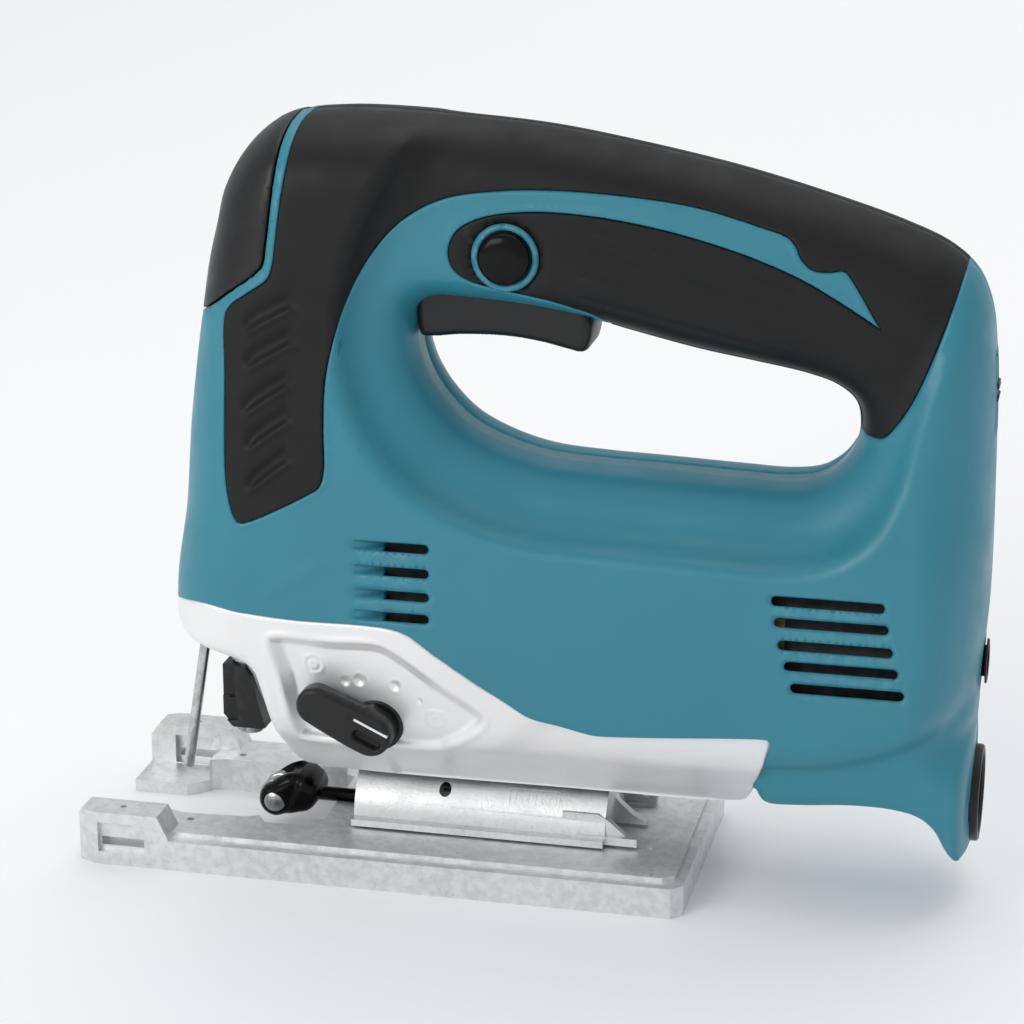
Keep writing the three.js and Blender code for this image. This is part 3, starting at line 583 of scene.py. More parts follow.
def combine(name, base, steps=(), merge=True):
    """Base solid with helper solids cut away and joined on, in the order of the steps."""
    obj = raw(*base)
    for operation, solid in steps:
        tool = raw(*solid)
        mod = obj.modifiers.new("op", "BOOLEAN")
        mod.operation = operation
        mod.solver = "EXACT"
        mod.object = tool
        graph = bpy.context.evaluated_depsgraph_get()
        mesh = bpy.data.meshes.new_from_object(obj.evaluated_get(graph))
        obj.modifiers.clear()
        obj.data = mesh
        bpy.data.objects.remove(tool)
    bm = bmesh.new()
    bm.from_mesh(obj.data)
    bmesh.ops.remove_doubles(bm, verts=bm.verts, dist=0.01 * MM)
    if merge:
        bmesh.ops.dissolve_limit(
            bm, angle_limit=math.radians(0.5), verts=bm.verts, edges=bm.edges)
    else:
        bmesh.ops.triangulate(bm, faces=[f for f in bm.faces if len(f.verts) > 4])
    bmesh.ops.recalc_face_normals(bm, faces=bm.faces)
    bm.to_mesh(obj.data)
    bm.free()
    obj.name = name
    obj.data.polygons.foreach_set("use_smooth", [True] * len(obj.data.polygons))
    return obj


# ---------------------------------------------------------------- body halves
def heights(p, sign, field):
    return np.column_stack([p[:, 0], sign * field, p[:, 1]])


def close_hole(verts, faces, sign):
    """Joins the edge round the handle hole to the middle of the tool."""
    edges = np.vstack([faces[:, [0, 1]], faces[:, [1, 2]], faces[:, [2, 0]]])
    have = {tuple(e) for e in edges.tolist()}
    on_hole = distance(verts[:, [0, 2]], hole_line) < 0.02
    rim = [(a, b) for a, b in have if (b, a) not in have and on_hole[a] and on_hole[b]]
    fresh, extra, quads = {}, [], []
    for a in sorted({i for e in rim for i in e}):
        fresh[a] = len(verts) + len(extra)
        extra.append((verts[a, 0], sign * 0.01, verts[a, 2]))
    for a, b in rim:
        quads += [(b, a, fresh[a]), (b, fresh[a], fresh[b])]
    if not extra:
        return verts, faces
    return np.vstack([verts, extra]), np.vstack([faces, quads])


def wind(faces, sign):
    return faces if sign < 0 else faces[:, ::-1]


body_line = spline(NOSE + CROWN + TAIL[1:] + SEAM, 1.3, True)
seam_line = spline(SEAM, 1.0)
opener_line = spline(OPENER_LINE, 1.2)
grip_line = spline(GRIP, 0.9, True)
# Distances of the rows of points beside an edge that is rounded over.
FINE = [0.05, 0.2, 0.5, 0.95, 1.6, 2.4, 3.4, 4.7, 6.3]
vent_front = [slot_line(x0, x1, z, 1.25) for x0, x1, z in VENTS_FRONT]
vent_rear = [slot_line(x0, x1, z, 1.3) for x0, x1, z in VENTS_REAR]
vent_inner = [slot_line(x0 + 0.2, x1 - 0.12, z, 1.13) for x0, x1, z in VENTS_FRONT]


def cover_zone(p):
    """Distance inside the tool opener's outline, negative outside."""
    ring = np.vstack([opener_line, [(-58.4, 230), (-130, 230), (-130, 130)]])
    return signed(p, ring)


def rubber_detail(p):
    """Ribs on the front pad and flutes on the side pad, added to the half-width."""
    add = np.zeros(len(p))
    for (x0, z0), (x1, z1) in RIBS:
        t = np.clip((p[:, 0] - x0) / (x1 - x0), -0.4, 1.4)
        mid = z0 + (z1 - z0) * np.clip(t, 0, 1) - 0.8 * (t - 0.5) ** 2
        s = (p[:, 1] - mid) * 0.84
        span = ease(-0.22, 0.12, t) * ease(1.25, 0.9, t)
        ridge = 1.05 * hump(s, 0, 0.75)
        scoop = -1.25 * hump(s, 2.6, 1.9) * (s > -2)
        add += span * (ridge + scoop)
    for (x0, z0), (x1, z1) in FLUTES:
        t = (p[:, 0] - x0) / (x1 - x0)
        s = p[:, 1] - (z0 + (z1 - z0) * t)
        span = ease(-0.02, 0.03, t) * ease(1.02, 0.97, t)
        add -= 0.42 * span * hump(s, 0, 0.5)
        add += 0.2 * span * hump(s, -1.3, 0.9)
    return add


def away_from_button(p):
    return np.hypot(p[:, 0] - BUTTON[0], p[:, 1] - BUTTON[1])


def body_points(outlines):
    """Mesh points: rows along the edges, fine lattices on the two ribbed pads, a coarse one else."""
    near = [(body_line, True), (hole_line, True)]
    pads = [rect(-74, -44, 98, 168), rect(15, 82, 146, 186)]
    coarse = thin(lattice(-100, 130, 10, 210, 2.0), near, 7.0)
    in_pad = inside(coarse, np.array(pads[0])) | inside(coarse, np.array(pads[1]))
    fine = np.vstack([lattice(-74, -44, 98, 168, 0.8), lattice(15, 82, 146, 186, 0.75)])
    points = np.vstack([
        rings(body_line, True, FINE), rings(hole_line, True, FINE),
        rings(grip_line, True, [0.22, 0.5, 0.9]), rings(opener_line, False, [0.25, 0.6]),
        coarse[~in_pad], thin(fine, near, 7.0),
    ])
    points = points[signed(points, body_line) > ON_LINE]
    points = points[signed(points, hole_line) < -ON_LINE]
    points = thin(points, outlines[2:], 0.18)
    in_vents = []
    for x0, x1, z in VENTS_FRONT:
        xs = np.arange(x0 + 1.6, x1 - 1.4, 0.7)
        in_vents.append(np.column_stack([xs, np.full(len(xs), z)]))
    return np.unique(np.round(np.vstack([points] + in_vents), 2), axis=0)


def body_half(sign):
    """Side view mesh of one half: plastic, rubber and tool opener share one surface."""
    wide = 0.4 if sign == LEFT else 1.0
    gap_line = spline(
        [(x + wide, z - 0.75 * wide) for x, z in OPENER_LINE[:5]]
        + [(x + 1.4 * wide, z - 0.3 * wide) for x, z in OPENER_LINE[5:]], 1.2)
    outlines = [
        (body_line, True), (hole_line, True), (opener_line, False), (grip_line, True),
        (gap_line, False),
    ]
    outlines += [(line, True) for line in vent_front + vent_rear + vent_inner]
    if sign == LEFT:
        outlines += [(np.array(circle(*BUTTON, r, 48)), True) for r in (BUTTON_HOLE, BUTTON_SEAT)]
    sheet = Sheet(outlines, body_points(outlines))
    mid = sheet.mid
    solid = inside(mid, body_line) & ~inside(mid, hole_line)
    for line in vent_rear:
        solid &= ~inside(mid, line)
    for line in vent_front:
        solid &= ~(inside(mid, line) & (mid[:, 0] > VENT_OPEN_X))
    cover = (cover_zone(mid) > 0) & solid
    gap = inside(mid, np.vstack([opener_line, gap_line[::-1]])) & ~cover
    rubber = inside(mid, grip_line) & solid & ~cover & ~gap
    teal = solid & ~cover & ~gap & ~rubber
    if sign == LEFT:
        away = away_from_button(mid)
        seat = (away < BUTTON_SEAT) & (away > BUTTON_HOLE)
        rubber &= away > BUTTON_SEAT
        teal = (teal & (away > BUTTON_SEAT)) | seat
    return sheet, {"shell": teal, "rubber": rubber, "cover": cover}


def rear_opening(p):
    """Half-width of the openings at the back: hose port, cord gland and thumb dial."""
    z = p[:, 1]
    port = np.sqrt(np.maximum(12.9**2 - (z - PORT_Z) ** 2, 0)) * (p[:, 0] > 121.5)
    gland = np.sqrt(np.maximum(7.5**2 - (z - GLAND_Z) ** 2, 0))
    wheel = np.where(np.abs(z - DIAL_Z) < 11, 3.5, 0)
    return np.where(p[:, 0] > 119, np.maximum(np.maximum(port, gland), wheel), 0)


def shell_surface(p, t, sign):
    """Plastic: rear openings, edges rounded beside the other pieces, vents and button seat."""
    d_grip = distance(p, grip_line)
    t = np.maximum(t, rear_opening(p))
    t = t - np.where(t > RIM_WIDTH, edge_fall(d_grip, 0.45), 0)
    d_opener = distance(p, opener_line + [1.4, -0.6], False)
    t = t - np.where(t > RIM_WIDTH, edge_fall(d_opener, 0.8), 0)
    t = t + np.where(t > RIM_WIDTH, 0.28 * hump(d_grip, 0.85, 0.45), 0)
    for line in vent_front + vent_rear:
        near = distance(p, line)
        t = t - 0.5 * edge_fall(near, 0.7) + 0.22 * hump(near, 0.9, 0.5)
    slope = 5.5 * np.clip((p[:, 0] + 38.4) / 9.4, 0, 1) ** 1.3 + 0.15
    for line in vent_inner:
        t = t - np.where(signed(p, line) > -0.02, slope, 0)
    if sign == LEFT:
        away = away_from_button(p)
        seat = away < BUTTON_SEAT + 0.05
        t = np.where(seat, np.median(t[seat]) + 0.1 - edge_fall(BUTTON_SEAT - away, 0.5), t)
    return t


def rubber_surface(p, t, sign):
    d_grip = distance(p, grip_line)
    t = t + np.where(t > 0, 0.35, 0) - np.where(t > RIM_WIDTH, edge_fall(d_grip, 0.6), 0)
    t = t + np.where(t > RIM_WIDTH, rubber_detail(p), 0)
    if sign == LEFT:
        t = t - 1.2 * ease(11.6, BUTTON_SEAT, away_from_button(p))
    return t


def cover_surface(p, t, sign):
    fall = edge_fall(distance(p, opener_line, False), 0.9)
    return t + 0.2 * ease(0, 2, t) - np.where(t > RIM_WIDTH, fall, 0)


SURFACES = {"shell": shell_surface, "rubber": rubber_surface, "cover": cover_surface}


def body_skins():
    """Outer skins of all pieces of the body, by piece and side."""
    skins = {}
    for side, sign in SIDES:
        sheet, zones = body_half(sign)
        for piece, surface in SURFACES.items():
            p, faces = sheet.part(zones[piece])
            t = half_width(p)
            t[(distance(p, body_line) < ON_LINE) & (distance(p, seam_line, False) > 0.3)] = 0
            t = np.maximum(surface(p, t, sign), 0)
            skins[piece, side] = close_hole(heights(p, sign, t), wind(faces, sign), sign)
    for piece in ("shell", "rubber"):
        skins[piece, "right"] = bore(*skins[piece, "right"], HINGE, HINGE_R, *HINGE_Z)
    return skins


def build_body(skins):
    walls = (("shell", "teal_shell", "housing_", 2.4), ("rubber", "soft_grip", "grip_", 1.8))
    for side, sign in SIDES:
        for piece, slot, node, wall in walls:
            obj = new_object(piece + "_" + side, *skins[piece, side], "housing", slot, [node + side])
            keep_in(solidify(obj, wall), body_line)


def build_linings():
    """Black liner under the tool opener's edge and a black sheet behind each group of vents: both paint the
    shade seen in these gaps and slots.
    """
    shade_sheets = (("front", rect(-40, -14, 74.4, 99.4)), ("rear", rect(71, 111, 63, 92.4)))
    for side, sign in SIDES:
        points = np.vstack([opener_line, opener_line + [1.7, -1.0], opener_line + [-1.5, 0.9]])
        points = points[signed(points, body_line) > 1.4]
        sheet = Sheet([(body_line, True)], points)
        near = distance(sheet.mid, opener_line, False) < 1.6
        p, faces = sheet.part(inside(sheet.mid, body_line) & near)
        verts, faces = heights(p, sign, np.maximum(half_width(p) - 2.6, 0.1)), wind(faces, sign)
        if sign == RIGHT:
            verts, faces = bore(verts, faces, HINGE, HINGE_R, *HINGE_Z)
        # Black liner behind the opener's gap: it closes the view through the gap and paints the shade in
        # it.
        solidify(new_object("gap_shade_liner_" + side, verts, faces, "housing", "black_plastic"), 0.7)
        # A black sheet behind each vent group: painted shade inside the vents.
        for group, outline in shade_sheets:
            new_object("vent_shade_sheet_%s_%s" % (group, side),
                       *prism(outline, *sorted(sign * y for y in SHADE_SCREEN_Y)), "housing",
                       "black_plastic", smooth=False)


def build_opener(skins):
    (left, left_faces), (right, right_faces) = skins["cover", "left"], skins["cover", "right"]
    cover = new_object("cover", np.vstack([left, right]),
                       np.vstack([left_faces, right_faces + len(left)]), "opener",
                       "black_plastic", ["tool_opener"])
    keep_in(solidify(weld(cover), 1.0), body_line)
    new_object("hinge_barrel", *lathe(
        [(0, 158.6), (7.4, 158.6), (8.3, 159), (8.7, 160), (8.7, 186), (8.3, 187), (7.4, 187.4),
         (0, 187.4)], "z", (*HINGE, 0), 48), "opener", "black_plastic")


body = body_skins()
build_body(body)
build_linings()
build_opener(body)


# ---------------------------------------------------------------- gear case
CHIN = [
    (-94, 72.7), (-94, 69), (-93.7, 66.6), (-92.8, 64.6), (-90.8, 63), (-86.6, 61),
    (-80, 59.2), (-74, 57.8), (-70.2, 56.4), (-68.8, 53), (-66.9, 45.5), (-65, 39),
    (-62.6, 33), (-60.4, 29.4), (-57, 26.8), (-50, 25.6), (20, 25.4), (60, 25.8), (66, 27),
    (68.3, 30.2), (68.3, 30.2),
]
CASE = CHIN + SEAM[2:]
PANEL = [
    (-61, 68.6), (-45, 68.7), (-31, 68.9), (-26.5, 67), (-14, 58.6), (-2.4, 50.6), (-2.2, 48.6),
    (-6, 44.4), (-12.6, 40), (-15.6, 38.4), (-53.8, 38.2), (-55.4, 39.4), (-58.6, 56), (-61.6, 67),
]
case_side = hermite(
    [24, 25.4, 27.4, 30, 33, 36, 38, 41, 46, 58, 70, 78],
    [15.8, 16.4, 17.8, 20, 22.4, 25, 26.8, 28.9, 30.6, 31.8, 32.5, 32.8])
nose_front = spline([(-95.6, 50), (-94.2, 62), (-94, 69), (-94, 72.7), (-93.4, 81.5)], 2)
chin_low = spline([(-99, 65), (-93.8, 63.8), (-90.8, 63), (-86.6, 61), (-80, 59.2), (-70.2, 56.4),
                   (-68.8, 53), (-65, 39), (-60.4, 29.4), (-57, 26.8), (-50, 25.6), (66, 25.6)], 1.5)
panel_line = spline(PANEL, 0.6, True)
case_line = spline(CASE, 1.0, True)
swoosh = spline([(13, 53), (10.5, 50.8), (1.8, 43.4), (-3.7, 39.4), (-14.8, 36.5), (-30, 34)], 1.5)
# Raised outlines and round dimples on the selector panel: place and size.
MARKS = [(-50, 60.6, 2.7), (-16, 47.9, 2.3)]
DIMPLES = [(-37.2, 57.1, 1.7), (-41.2, 56.4, 1.4), (-27.2, 56.5, 1.5), (-20.6, 52.8, 0.9)]


def case_width(p, sign):
    """Half-width of the gear case: rounded nose, stepped tail, selector panel on the left."""
    x, z = p[:, 0], p[:, 1]
    t = case_side(z)
    behind = inside(p, np.vstack([swoosh, [(-30, 0), (120, 0), (120, 90), (13, 90)]]))
    t = t - 1.5 * ease(-1, 7, np.where(behind, 1, -1) * distance(p, swoosh, False))
    t = t * rounding(distance(p, nose_front, False), 25, 2.6)
    t = t * rounding(distance(p, chin_low, False), 6.5 - 5.7 * ease(-64, -55, x), 2.4)
    if sign < 0:
        s = signed(p, panel_line)
        depth = 3.4 - 1.7 * ease(-50, -8, x)
        t = t - depth * ease(0, 3.2, s) + 0.35 * hump(s, -0.7, 0.8)
        for mx, mz, half in MARKS:
            u, v = np.abs(x - mx), np.abs(z - mz)
            r = np.maximum(u, v) + 0.25 * np.minimum(u, v)
            t = t + 0.34 * hump(r, half, 0.32) + 0.3 * hump(r, 0.9, 0.4)
        for mx, mz, r in DIMPLES:
            a = np.hypot(x - mx, z - mz) / r
            t = t - 0.45 * r * np.maximum(1 - a * a, 0) + 0.12 * hump(a, 1.15, 0.2)
    return np.maximum(t, 0)


def build_case():
    """Casting skin, open at its foot above the saddle and below the nose for the blade clamp."""
    verts, faces, base = [], [], 0
    for _, sign in SIDES:
        points = np.vstack([
            rings(case_line, True, [0.06, 0.25, 0.6, 1.1, 1.8, 2.7, 3.8, 5.2]),
            thin(lattice(-96, 76, 26, 79, 1.6), [(case_line, True)], 6),
        ])
        if sign == LEFT:
            zone = np.array(rect(-63, 0, 36, 71))
            points = np.vstack([points[~inside(points, zone)], lattice(-63, 0, 36, 71, 0.62)])
        points = points[signed(points, case_line) > 0.04]
        sheet = Sheet([(case_line, True)], np.unique(np.round(points, 2), axis=0))
        p, f = sheet.part(inside(sheet.mid, case_line))
        seam_gap = distance(p, seam_line, False)
        open_foot = (p[:, 0] > -56) & (p[:, 1] < 28)
        t = case_width(p, sign)
        t = np.where(open_foot, np.maximum(t, 15.2), t)
        t[(distance(p, case_line) < ON_LINE) & (seam_gap > 0.3) & ~open_foot] = 0
        t = t - 0.9 * edge_fall(seam_gap, 0.7)
        verts.append(heights(p, sign, np.maximum(t, 0)))
        faces.append(wind(f, sign) + base)
        base += len(p)
    skin = bore(np.vstack(verts), np.vstack(faces), (PLUNGER_X, 0), CLAMP_HOLE_R, 40, 70)
    case = new_object("gear_case", *skin, "housing", "silver_casting", ["gear_housing"])
    keep_in(solidify(weld(case), 2.0), case_line)


# ---------------------------------------------------------------- selector lever
PIVOT, LEVER_END = np.array((-32.6, 44.4)), np.array((-47.6, 51.5))
lever_dir = (LEVER_END - PIVOT) / np.linalg.norm(LEVER_END - PIVOT)
lever_up = np.array((lever_dir[1], -lever_dir[0]))


def along_lever(p):
    rel = p - PIVOT
    return rel @ lever_dir, rel @ lever_up


def lever_outline():
    a = math.atan2(lever_dir[1], lever_dir[0])
    big = circle(*PIVOT, 5.9, 15, a + math.pi / 2, a + 1.5 * math.pi)
    small = circle(*LEVER_END, 5.3, 15, a - math.pi / 2, a + math.pi / 2)
    return big + small


def lever_top(p):
    """Outer face: rounded edge, sunk slot in the middle and a groove for the pointer line."""
    u, v = along_lever(p)
    t = 37.6 - edge_fall(distance(p, np.array(lever_outline())), 1.5)
    hole = np.hypot(np.maximum(np.abs(u - 0.2) - 2.6, 0), v + 1.2)
    groove = hump(v, 2.6, 0.55) * ease(-6, -5, u) * ease(7.5, 6.5, u)
    return t - 2.4 * ease(1.75, 1.2, hole) - 0.35 * groove


def lever_under(p):
    """Inner face, with the round boss that stands on the casting."""
    return -32.3 + 3.9 * ease(7.2, 6.4, np.hypot(*(p - PIVOT).T))


def build_lever():
    points = np.vstack([
        lattice(-56, -24, 36, 60, 0.45),
        rings(np.array(lever_outline()), True, [0.1, 0.3, 0.6, 1.0]),
    ])
    solid = relief(lever_outline(), lever_top, lever_under, points, 0.6)
    new_object("selector_lever", *solid, "selector", "black_plastic", ["orbit_selector"])
    stripe = [PIVOT + u * lever_dir + v * lever_up for u, v in rect(-4.6, 5.6, 2.25, 2.95)]
    pointer = combine("pointer_line", prism(stripe, -37.62, -36.8))
    settle(bevel(pointer, 0.12), "selector", "silver_casting")
    collar = combine("selector_collar", lathe(
        [(0, -29), (6.6, -29), (7.2, -28.6), (7.2, -26), (0, -26)], "y", (PIVOT[0], 0, PIVOT[1]), 48))
    settle(bevel(collar, 0.2), "housing", "black_plastic")


# ---------------------------------------------------------------- trigger and lock button
TRIGGER = [
    (-25.6, 149.6), (-24.6, 148), (-21, 147.9), (-14, 148.7), (-2, 149), (8, 147.9),
    (15, 146.4), (18.6, 145.8), (20.2, 146.6), (21.6, 151), (21.6, 155), (17, 160),
    (-18, 163), (-24.6, 162.6), (-26, 158),
]
trigger_line = spline(TRIGGER, 0.8, True)


def trigger_half(p):
    return 5.6 + 3.0 * rounding(distance(p, trigger_line), 2.6, 2.2)


def build_trigger():
    points = np.vstack([
        lattice(-28, 24, 144, 165, 1.2), rings(trigger_line, True, [0.1, 0.35, 0.8, 1.5, 2.4])])
    solid = relief(TRIGGER, trigger_half, trigger_half, points)
    new_object("trigger_blade", *solid, "trigger_unit", "black_plastic", ["trigger"])


def build_button():
    dome = lathe(
        [(0, -21.7), (3.6, -21.6), (5.2, -21.4), (6.2, -21.0), (6.8, -20.4), (7.1, -19.6),
         (7.2, -18.6), (7.2, -15.6), (0, -15.6)], "y", (BUTTON[0], 0, BUTTON[1]))
    new_object("button_dome", *dome, "lock", "gloss_black", ["lock_button"])


# ---------------------------------------------------------------- blade clamp and finger guard
COLLAR = [
    (-83.9, 49.2), (-77, 49.2), (-75.2, 46.4), (-72.6, 36), (-71.2, 31.6), (-73, 31.1),
    (-80.8, 31.1), (-83.9, 34.4),
]
def build_clamp():
    on_rod = (PLUNGER_X, 0, 0)
    steps = [
        cut(rod(4.7, 20, 60, "z", on_rod, 32)),
        cut(prism([(-85, 42), (-79.4, 38.6), (-79.4, 33), (-85, 33)], -9, -5.4)),
        cut(prism(rect(-6.8, -5, 40, 51), -90, -80, "x")),
    ]
    for _, s in SIDES:
        corner = [(-90, s * 9), (-90, s * 4.2), (-82.4, s * 6.8), (-82.4, s * 9)]
        steps.append(cut(prism(corner, 20, 60, "z")))
    collar = combine("release_collar", prism(COLLAR, -6.5, 6.5), steps)
    settle(bevel(collar, 0.55, 3), "collar", "black_plastic", ["clamp_collar"])
    core = combine("clamp_core", lathe(
        [(0, 28.2), (3.4, 28.2), (4.1, 29), (4.4, 30.6), (4.4, 49.9), (0, 49.9)], "z", on_rod, 48),
        [cut(prism(rect(-82, -73.5, 20, 42), -0.8, 0.8))])
    settle(bevel(core, 0.15), "plunger_unit", "steel", ["blade_clamp"])


def build_guard():
    """Straight wire in front of the blade, from the casting down to the prongs."""
    data = bpy.data.curves.new("wire_guard", "CURVE")
    data.dimensions = "3D"
    data.bevel_depth = 1.5 * MM
    data.bevel_resolution = 6
    data.use_fill_caps = True
    line = data.splines.new("BEZIER")
    line.bezier_points.add(1)
    for point, at in zip(line.bezier_points, metres([(-88.8, 0, 62.9), (-96.6, 0, 15.5)])):
        point.co = at
        point.handle_left_type = point.handle_right_type = "VECTOR"
    curve = bpy.data.objects.new("wire_guard", data)
    bpy.context.scene.collection.objects.link(curve)
    graph = bpy.context.evaluated_depsgraph_get()
    mesh = bpy.data.meshes.new_from_object(curve.evaluated_get(graph))
    bpy.data.objects.remove(curve)
    wire = bpy.data.objects.new("finger_wire", mesh)
    bpy.context.scene.collection.objects.link(wire)
    settle(wire, "housing", "steel", ["finger_guard"])


# ---------------------------------------------------------------- roller arm
ROLLER = (-69.1, 9.6)
ARM = circle(*ROLLER, 5.0, 15, 0.62 * math.pi, 1.5 * math.pi) + [
    (-66, 5.2), (-62.4, 6.2), (-59.6, 7), (-57.4, 9.4), (-56.6, 12), (-57.4, 14.8), (-60.4, 17.2),
    (-64.4, 17.8), (-68, 16.4),
]
arm_line = spline(ARM, 0.6, True)


def arm_half(p):
    waist = 0.8 * hump(p[:, 0] - 0.35 * (p[:, 1] - 11), -64.4, 1.1)
    return 4.6 + 2.9 * rounding(distance(p, arm_line), 3.2, 2.1) - waist


def build_arm():
    """Fork on its push rod, with the two heads of the roller's pin."""
    points = np.vstack([
        lattice(-80, -50, 0, 20, 0.7), rings(arm_line, True, [0.1, 0.35, 0.8, 1.5])])
    push_rod = [(0, -60), (2, -60), (2, -41), (1.6, -40.4), (0, -40.4)]
    arm = combine("roller_fork", relief(ARM, arm_half, arm_half, points, 0.6), [
        cut(prism(rect(-85, -62.6, 0, 30), -3.9, 3.9)),
        join(lathe(push_rod, "x", (0, 0, TILT_Z), 32)),
    ])
    settle(arm, "roller_arm", "gloss_black", ["roller_holder"])
    head = [(0, 8), (1, 7.95), (2, 7.75), (2.8, 7.4), (3.3, 6.9), (3.5, 6.2), (3.5, 4.5), (0, 4.5)]
    for side, s in SIDES:
        solid = lathe([(r, s * y) for r, y in head], "y", (ROLLER[0], 0, ROLLER[1]), 48)
        new_object("pin_head_" + side, *solid, "roller_arm", "steel",
                   ["roller_pin"] if s == LEFT else [])


def build_roller():
    """Grooved wheel, mirrored about its middle."""
    half = [(1.9, -3.5), (5.1, -3.5), (5.4, -3.2), (5.4, -0.9), (4.9, -0.6)]
    profile = half + [(r, -y) for r, y in half[::-1]]
    wheel = combine("guide_roller", lathe(profile, "y", (ROLLER[0], 0, ROLLER[1])))
    settle(bevel(wheel, 0.12), "roller", "steel", ["blade_roller"])


# ---------------------------------------------------------------- base plate
SLOT_EDGE = [
    (-130, 13), (-102, 13), (-98.5, 15.4), (-96, 18.4), (-92, 19.8), (-88, 19.8), (-73, 18.6),
    (-70.2, 17.1), (-67.4, 21.4), (-55.5, 21.2), (-54.5, 16.8), (-51.8, 15.6),
]
SLOT = [(x, -y) for x, y in SLOT_EDGE] + SLOT_EDGE[::-1]
PLATE = [
    (-118, -31), (-116.6, -35.6), (-112, -38), (50, -38), (53, -35), (53, 35), (50, 38),
    (-112, 38), (-116.6, 35.6), (-118, 31),
]
PRONG = [(-118, 0.4), (-118, 12), (-115.6, 15.4), (-93.2, 15.4), (-90.2, 9.2), (-89.4, 0.4)]


# Small round holes from above: place, radius and depth they reach down to.
PLATE_HOLES = [(-104.6, 32.6, 0.9, 14.4), (-88.2, 24, 1.0, 8.4), (44, 31.6, 0.9, 8.8)]


def build_base():
    """Plate with raised middle, two prongs, fence windows, blade slot and bolt hole."""
    raised = [(-96.6, -28), (-93, -33.6), (47, -33.6), (50, -31), (50, 31), (47, 33.6),
              (-93, 33.6), (-96.6, 28)]
    steps = [cut(prism(rect(-130, -96.6, -28, 28), 3.6, 30, "z"))]
    for _, s in SIDES:
        corner = [(-130, s * 31), (-118, s * 31), (-116.6, s * 35.6), (-112, s * 38),
                  (-112, s * 50), (-130, s * 50)]
        steps.append(join(prism(PRONG, s * 33 - 5, s * 33 + 4.99)))
        steps.append(cut(prism(corner, -5, 40, "z")))
    steps += [
        join(prism(raised, 4, 9.6, "z")),
        cut(prism(SLOT, -1, 40, "z")),
        cut(prism(rect(-109.9, -97.6, 5.2, 7.6), -50, 50)),
    ]
    for y0, y1 in ((-50, -36.2), (-30.4, 30.4), (36.2, 50)):
        steps.append(cut(prism(rect(-110.5, -97, 3.8, 12.4), y0, y1)))
    steps += [
        cut(rod(7.6, -1, 20, "z", (0, 0, 0), 48)),
        cut(rod(2.8, -60, -39, "x", (0, 0, TILT_Z))),
        cut(prism(rect(-50, 40, -12.5, 12.5), -1, 4.2, "z")),
    ]
    holes = [(x, s * y, r, z) for x, y, r, z in PLATE_HOLES for _, s in SIDES]
    for x, y, r, z in holes + [(40, -15, 1.2, 8.8)]:
        steps.append(cut(rod(r, z, 30, "z", (x, y, 0), 20)))
    plate = combine("cast_plate", prism(PLATE, 0, 8.6, "z"), steps, False)
    settle(bevel(plate, 0.55, 3, 28), "base", "cast_aluminium", ["base_plate"])


def build_saddle():
    """Half-round dome on a foot, with three gussets behind it and a hollow inside."""
    gusset = [(16, 10.3), (16, 26.4), (24, 26.4), (26, 21.4), (29, 16.6), (33, 13), (37, 11),
              (37, 10.3)]
    steps = [join(prism(rect(-19.5, 19.5, 10.1, 12), -43, 28, "x"))]
    for _, s in SIDES:
        steps.append(join(prism(rect(s * 14, s * 17.2, 10.3, 12.6), 20, 37, "x")))
    for y in (-14.4, 14.4):
        steps.append(join(prism([(x, min(z, 18.3)) for x, z in gusset], y - 1.1, y + 1.1)))
    steps += [
        join(prism(gusset, -1.4, 1.4)),
        cut(prism(circle(0, TILT_Z, 13.2, 49), -39.5, 24.5, "x")),
        cut(rod(2.5, -60, -38, "x", (0, 0, TILT_Z))),
        cut(rod(1.7, -30, 0, "y", (-17.6, 0, 20.6))),
        cut(prism(rect(-20, 20, 0, 10.12), -60, 60, "x")),
    ]
    dome = prism(circle(0, TILT_Z, SADDLE_R, 49, 0, math.pi), -43, 28, "x")
    body = combine("saddle", dome, steps)
    settle(bevel(body, 0.35, 2, 40), "base", "cast_aluminium", ["bevel_saddle"])


def wrapped_line(points, radius, width, height, steps=10):
    """A raised strip that follows points (x, angle in degrees) on the saddle."""
    verts, faces = [], []
    path = np.array(points, float)
    share = np.linspace(0, 1, steps, endpoint=False)
    fine = np.vstack([a + (b - a) * t for a, b in zip(path, path[1:]) for t in share] + [path[-1]])
    flat = np.column_stack([fine[:, 0], np.radians(fine[:, 1]) * radius])
    run = np.gradient(flat, axis=0)
    run /= np.maximum(np.linalg.norm(run, axis=1), 1e-9)[:, None]
    off = np.column_stack([-run[:, 1], run[:, 0]]) * width / 2
    for q, o in zip(flat, off):
        for side, h in ((-1, -0.2), (-1, height), (1, height), (1, -0.2)):
            x, a = q[0] + side * o[0], (q[1] + side * o[1]) / radius
            verts.append((x, -(radius + h) * math.cos(a), TILT_Z + (radius + h) * math.sin(a)))
    for i in range(len(fine) - 1):
        for k in range(4):
            a, b = 4 * i + k, 4 * i + (k + 1) % 4
            faces.append([a, b, b + 4, a + 4])
    faces += [[3, 2, 1, 0], [4 * len(fine) - 4 + k for k in range(4)]]
    return verts, faces


def build_scale():
    """Bevel marks: a framed row of short strokes, every third one longer."""
    strips = [[(0.6, 26), (14.6, 26), (14.6, 46), (0.6, 46), (0.6, 26)]]
    for i in range(7):
        strips.append([(2.2 + 1.9 * i, 31), (2.2 + 1.9 * i, 37 if i % 3 else 41)])
    verts, faces = [], []
    for strip in strips:
        v, f = wrapped_line(strip, SADDLE_R, 0.42, 0.12)
        faces += [[i + len(verts) for i in face] for face in f]
        verts += v
    marks = raw(verts, faces)
    marks.name = "bevel_scale"
    settle(marks, "base", "cast_aluminium")


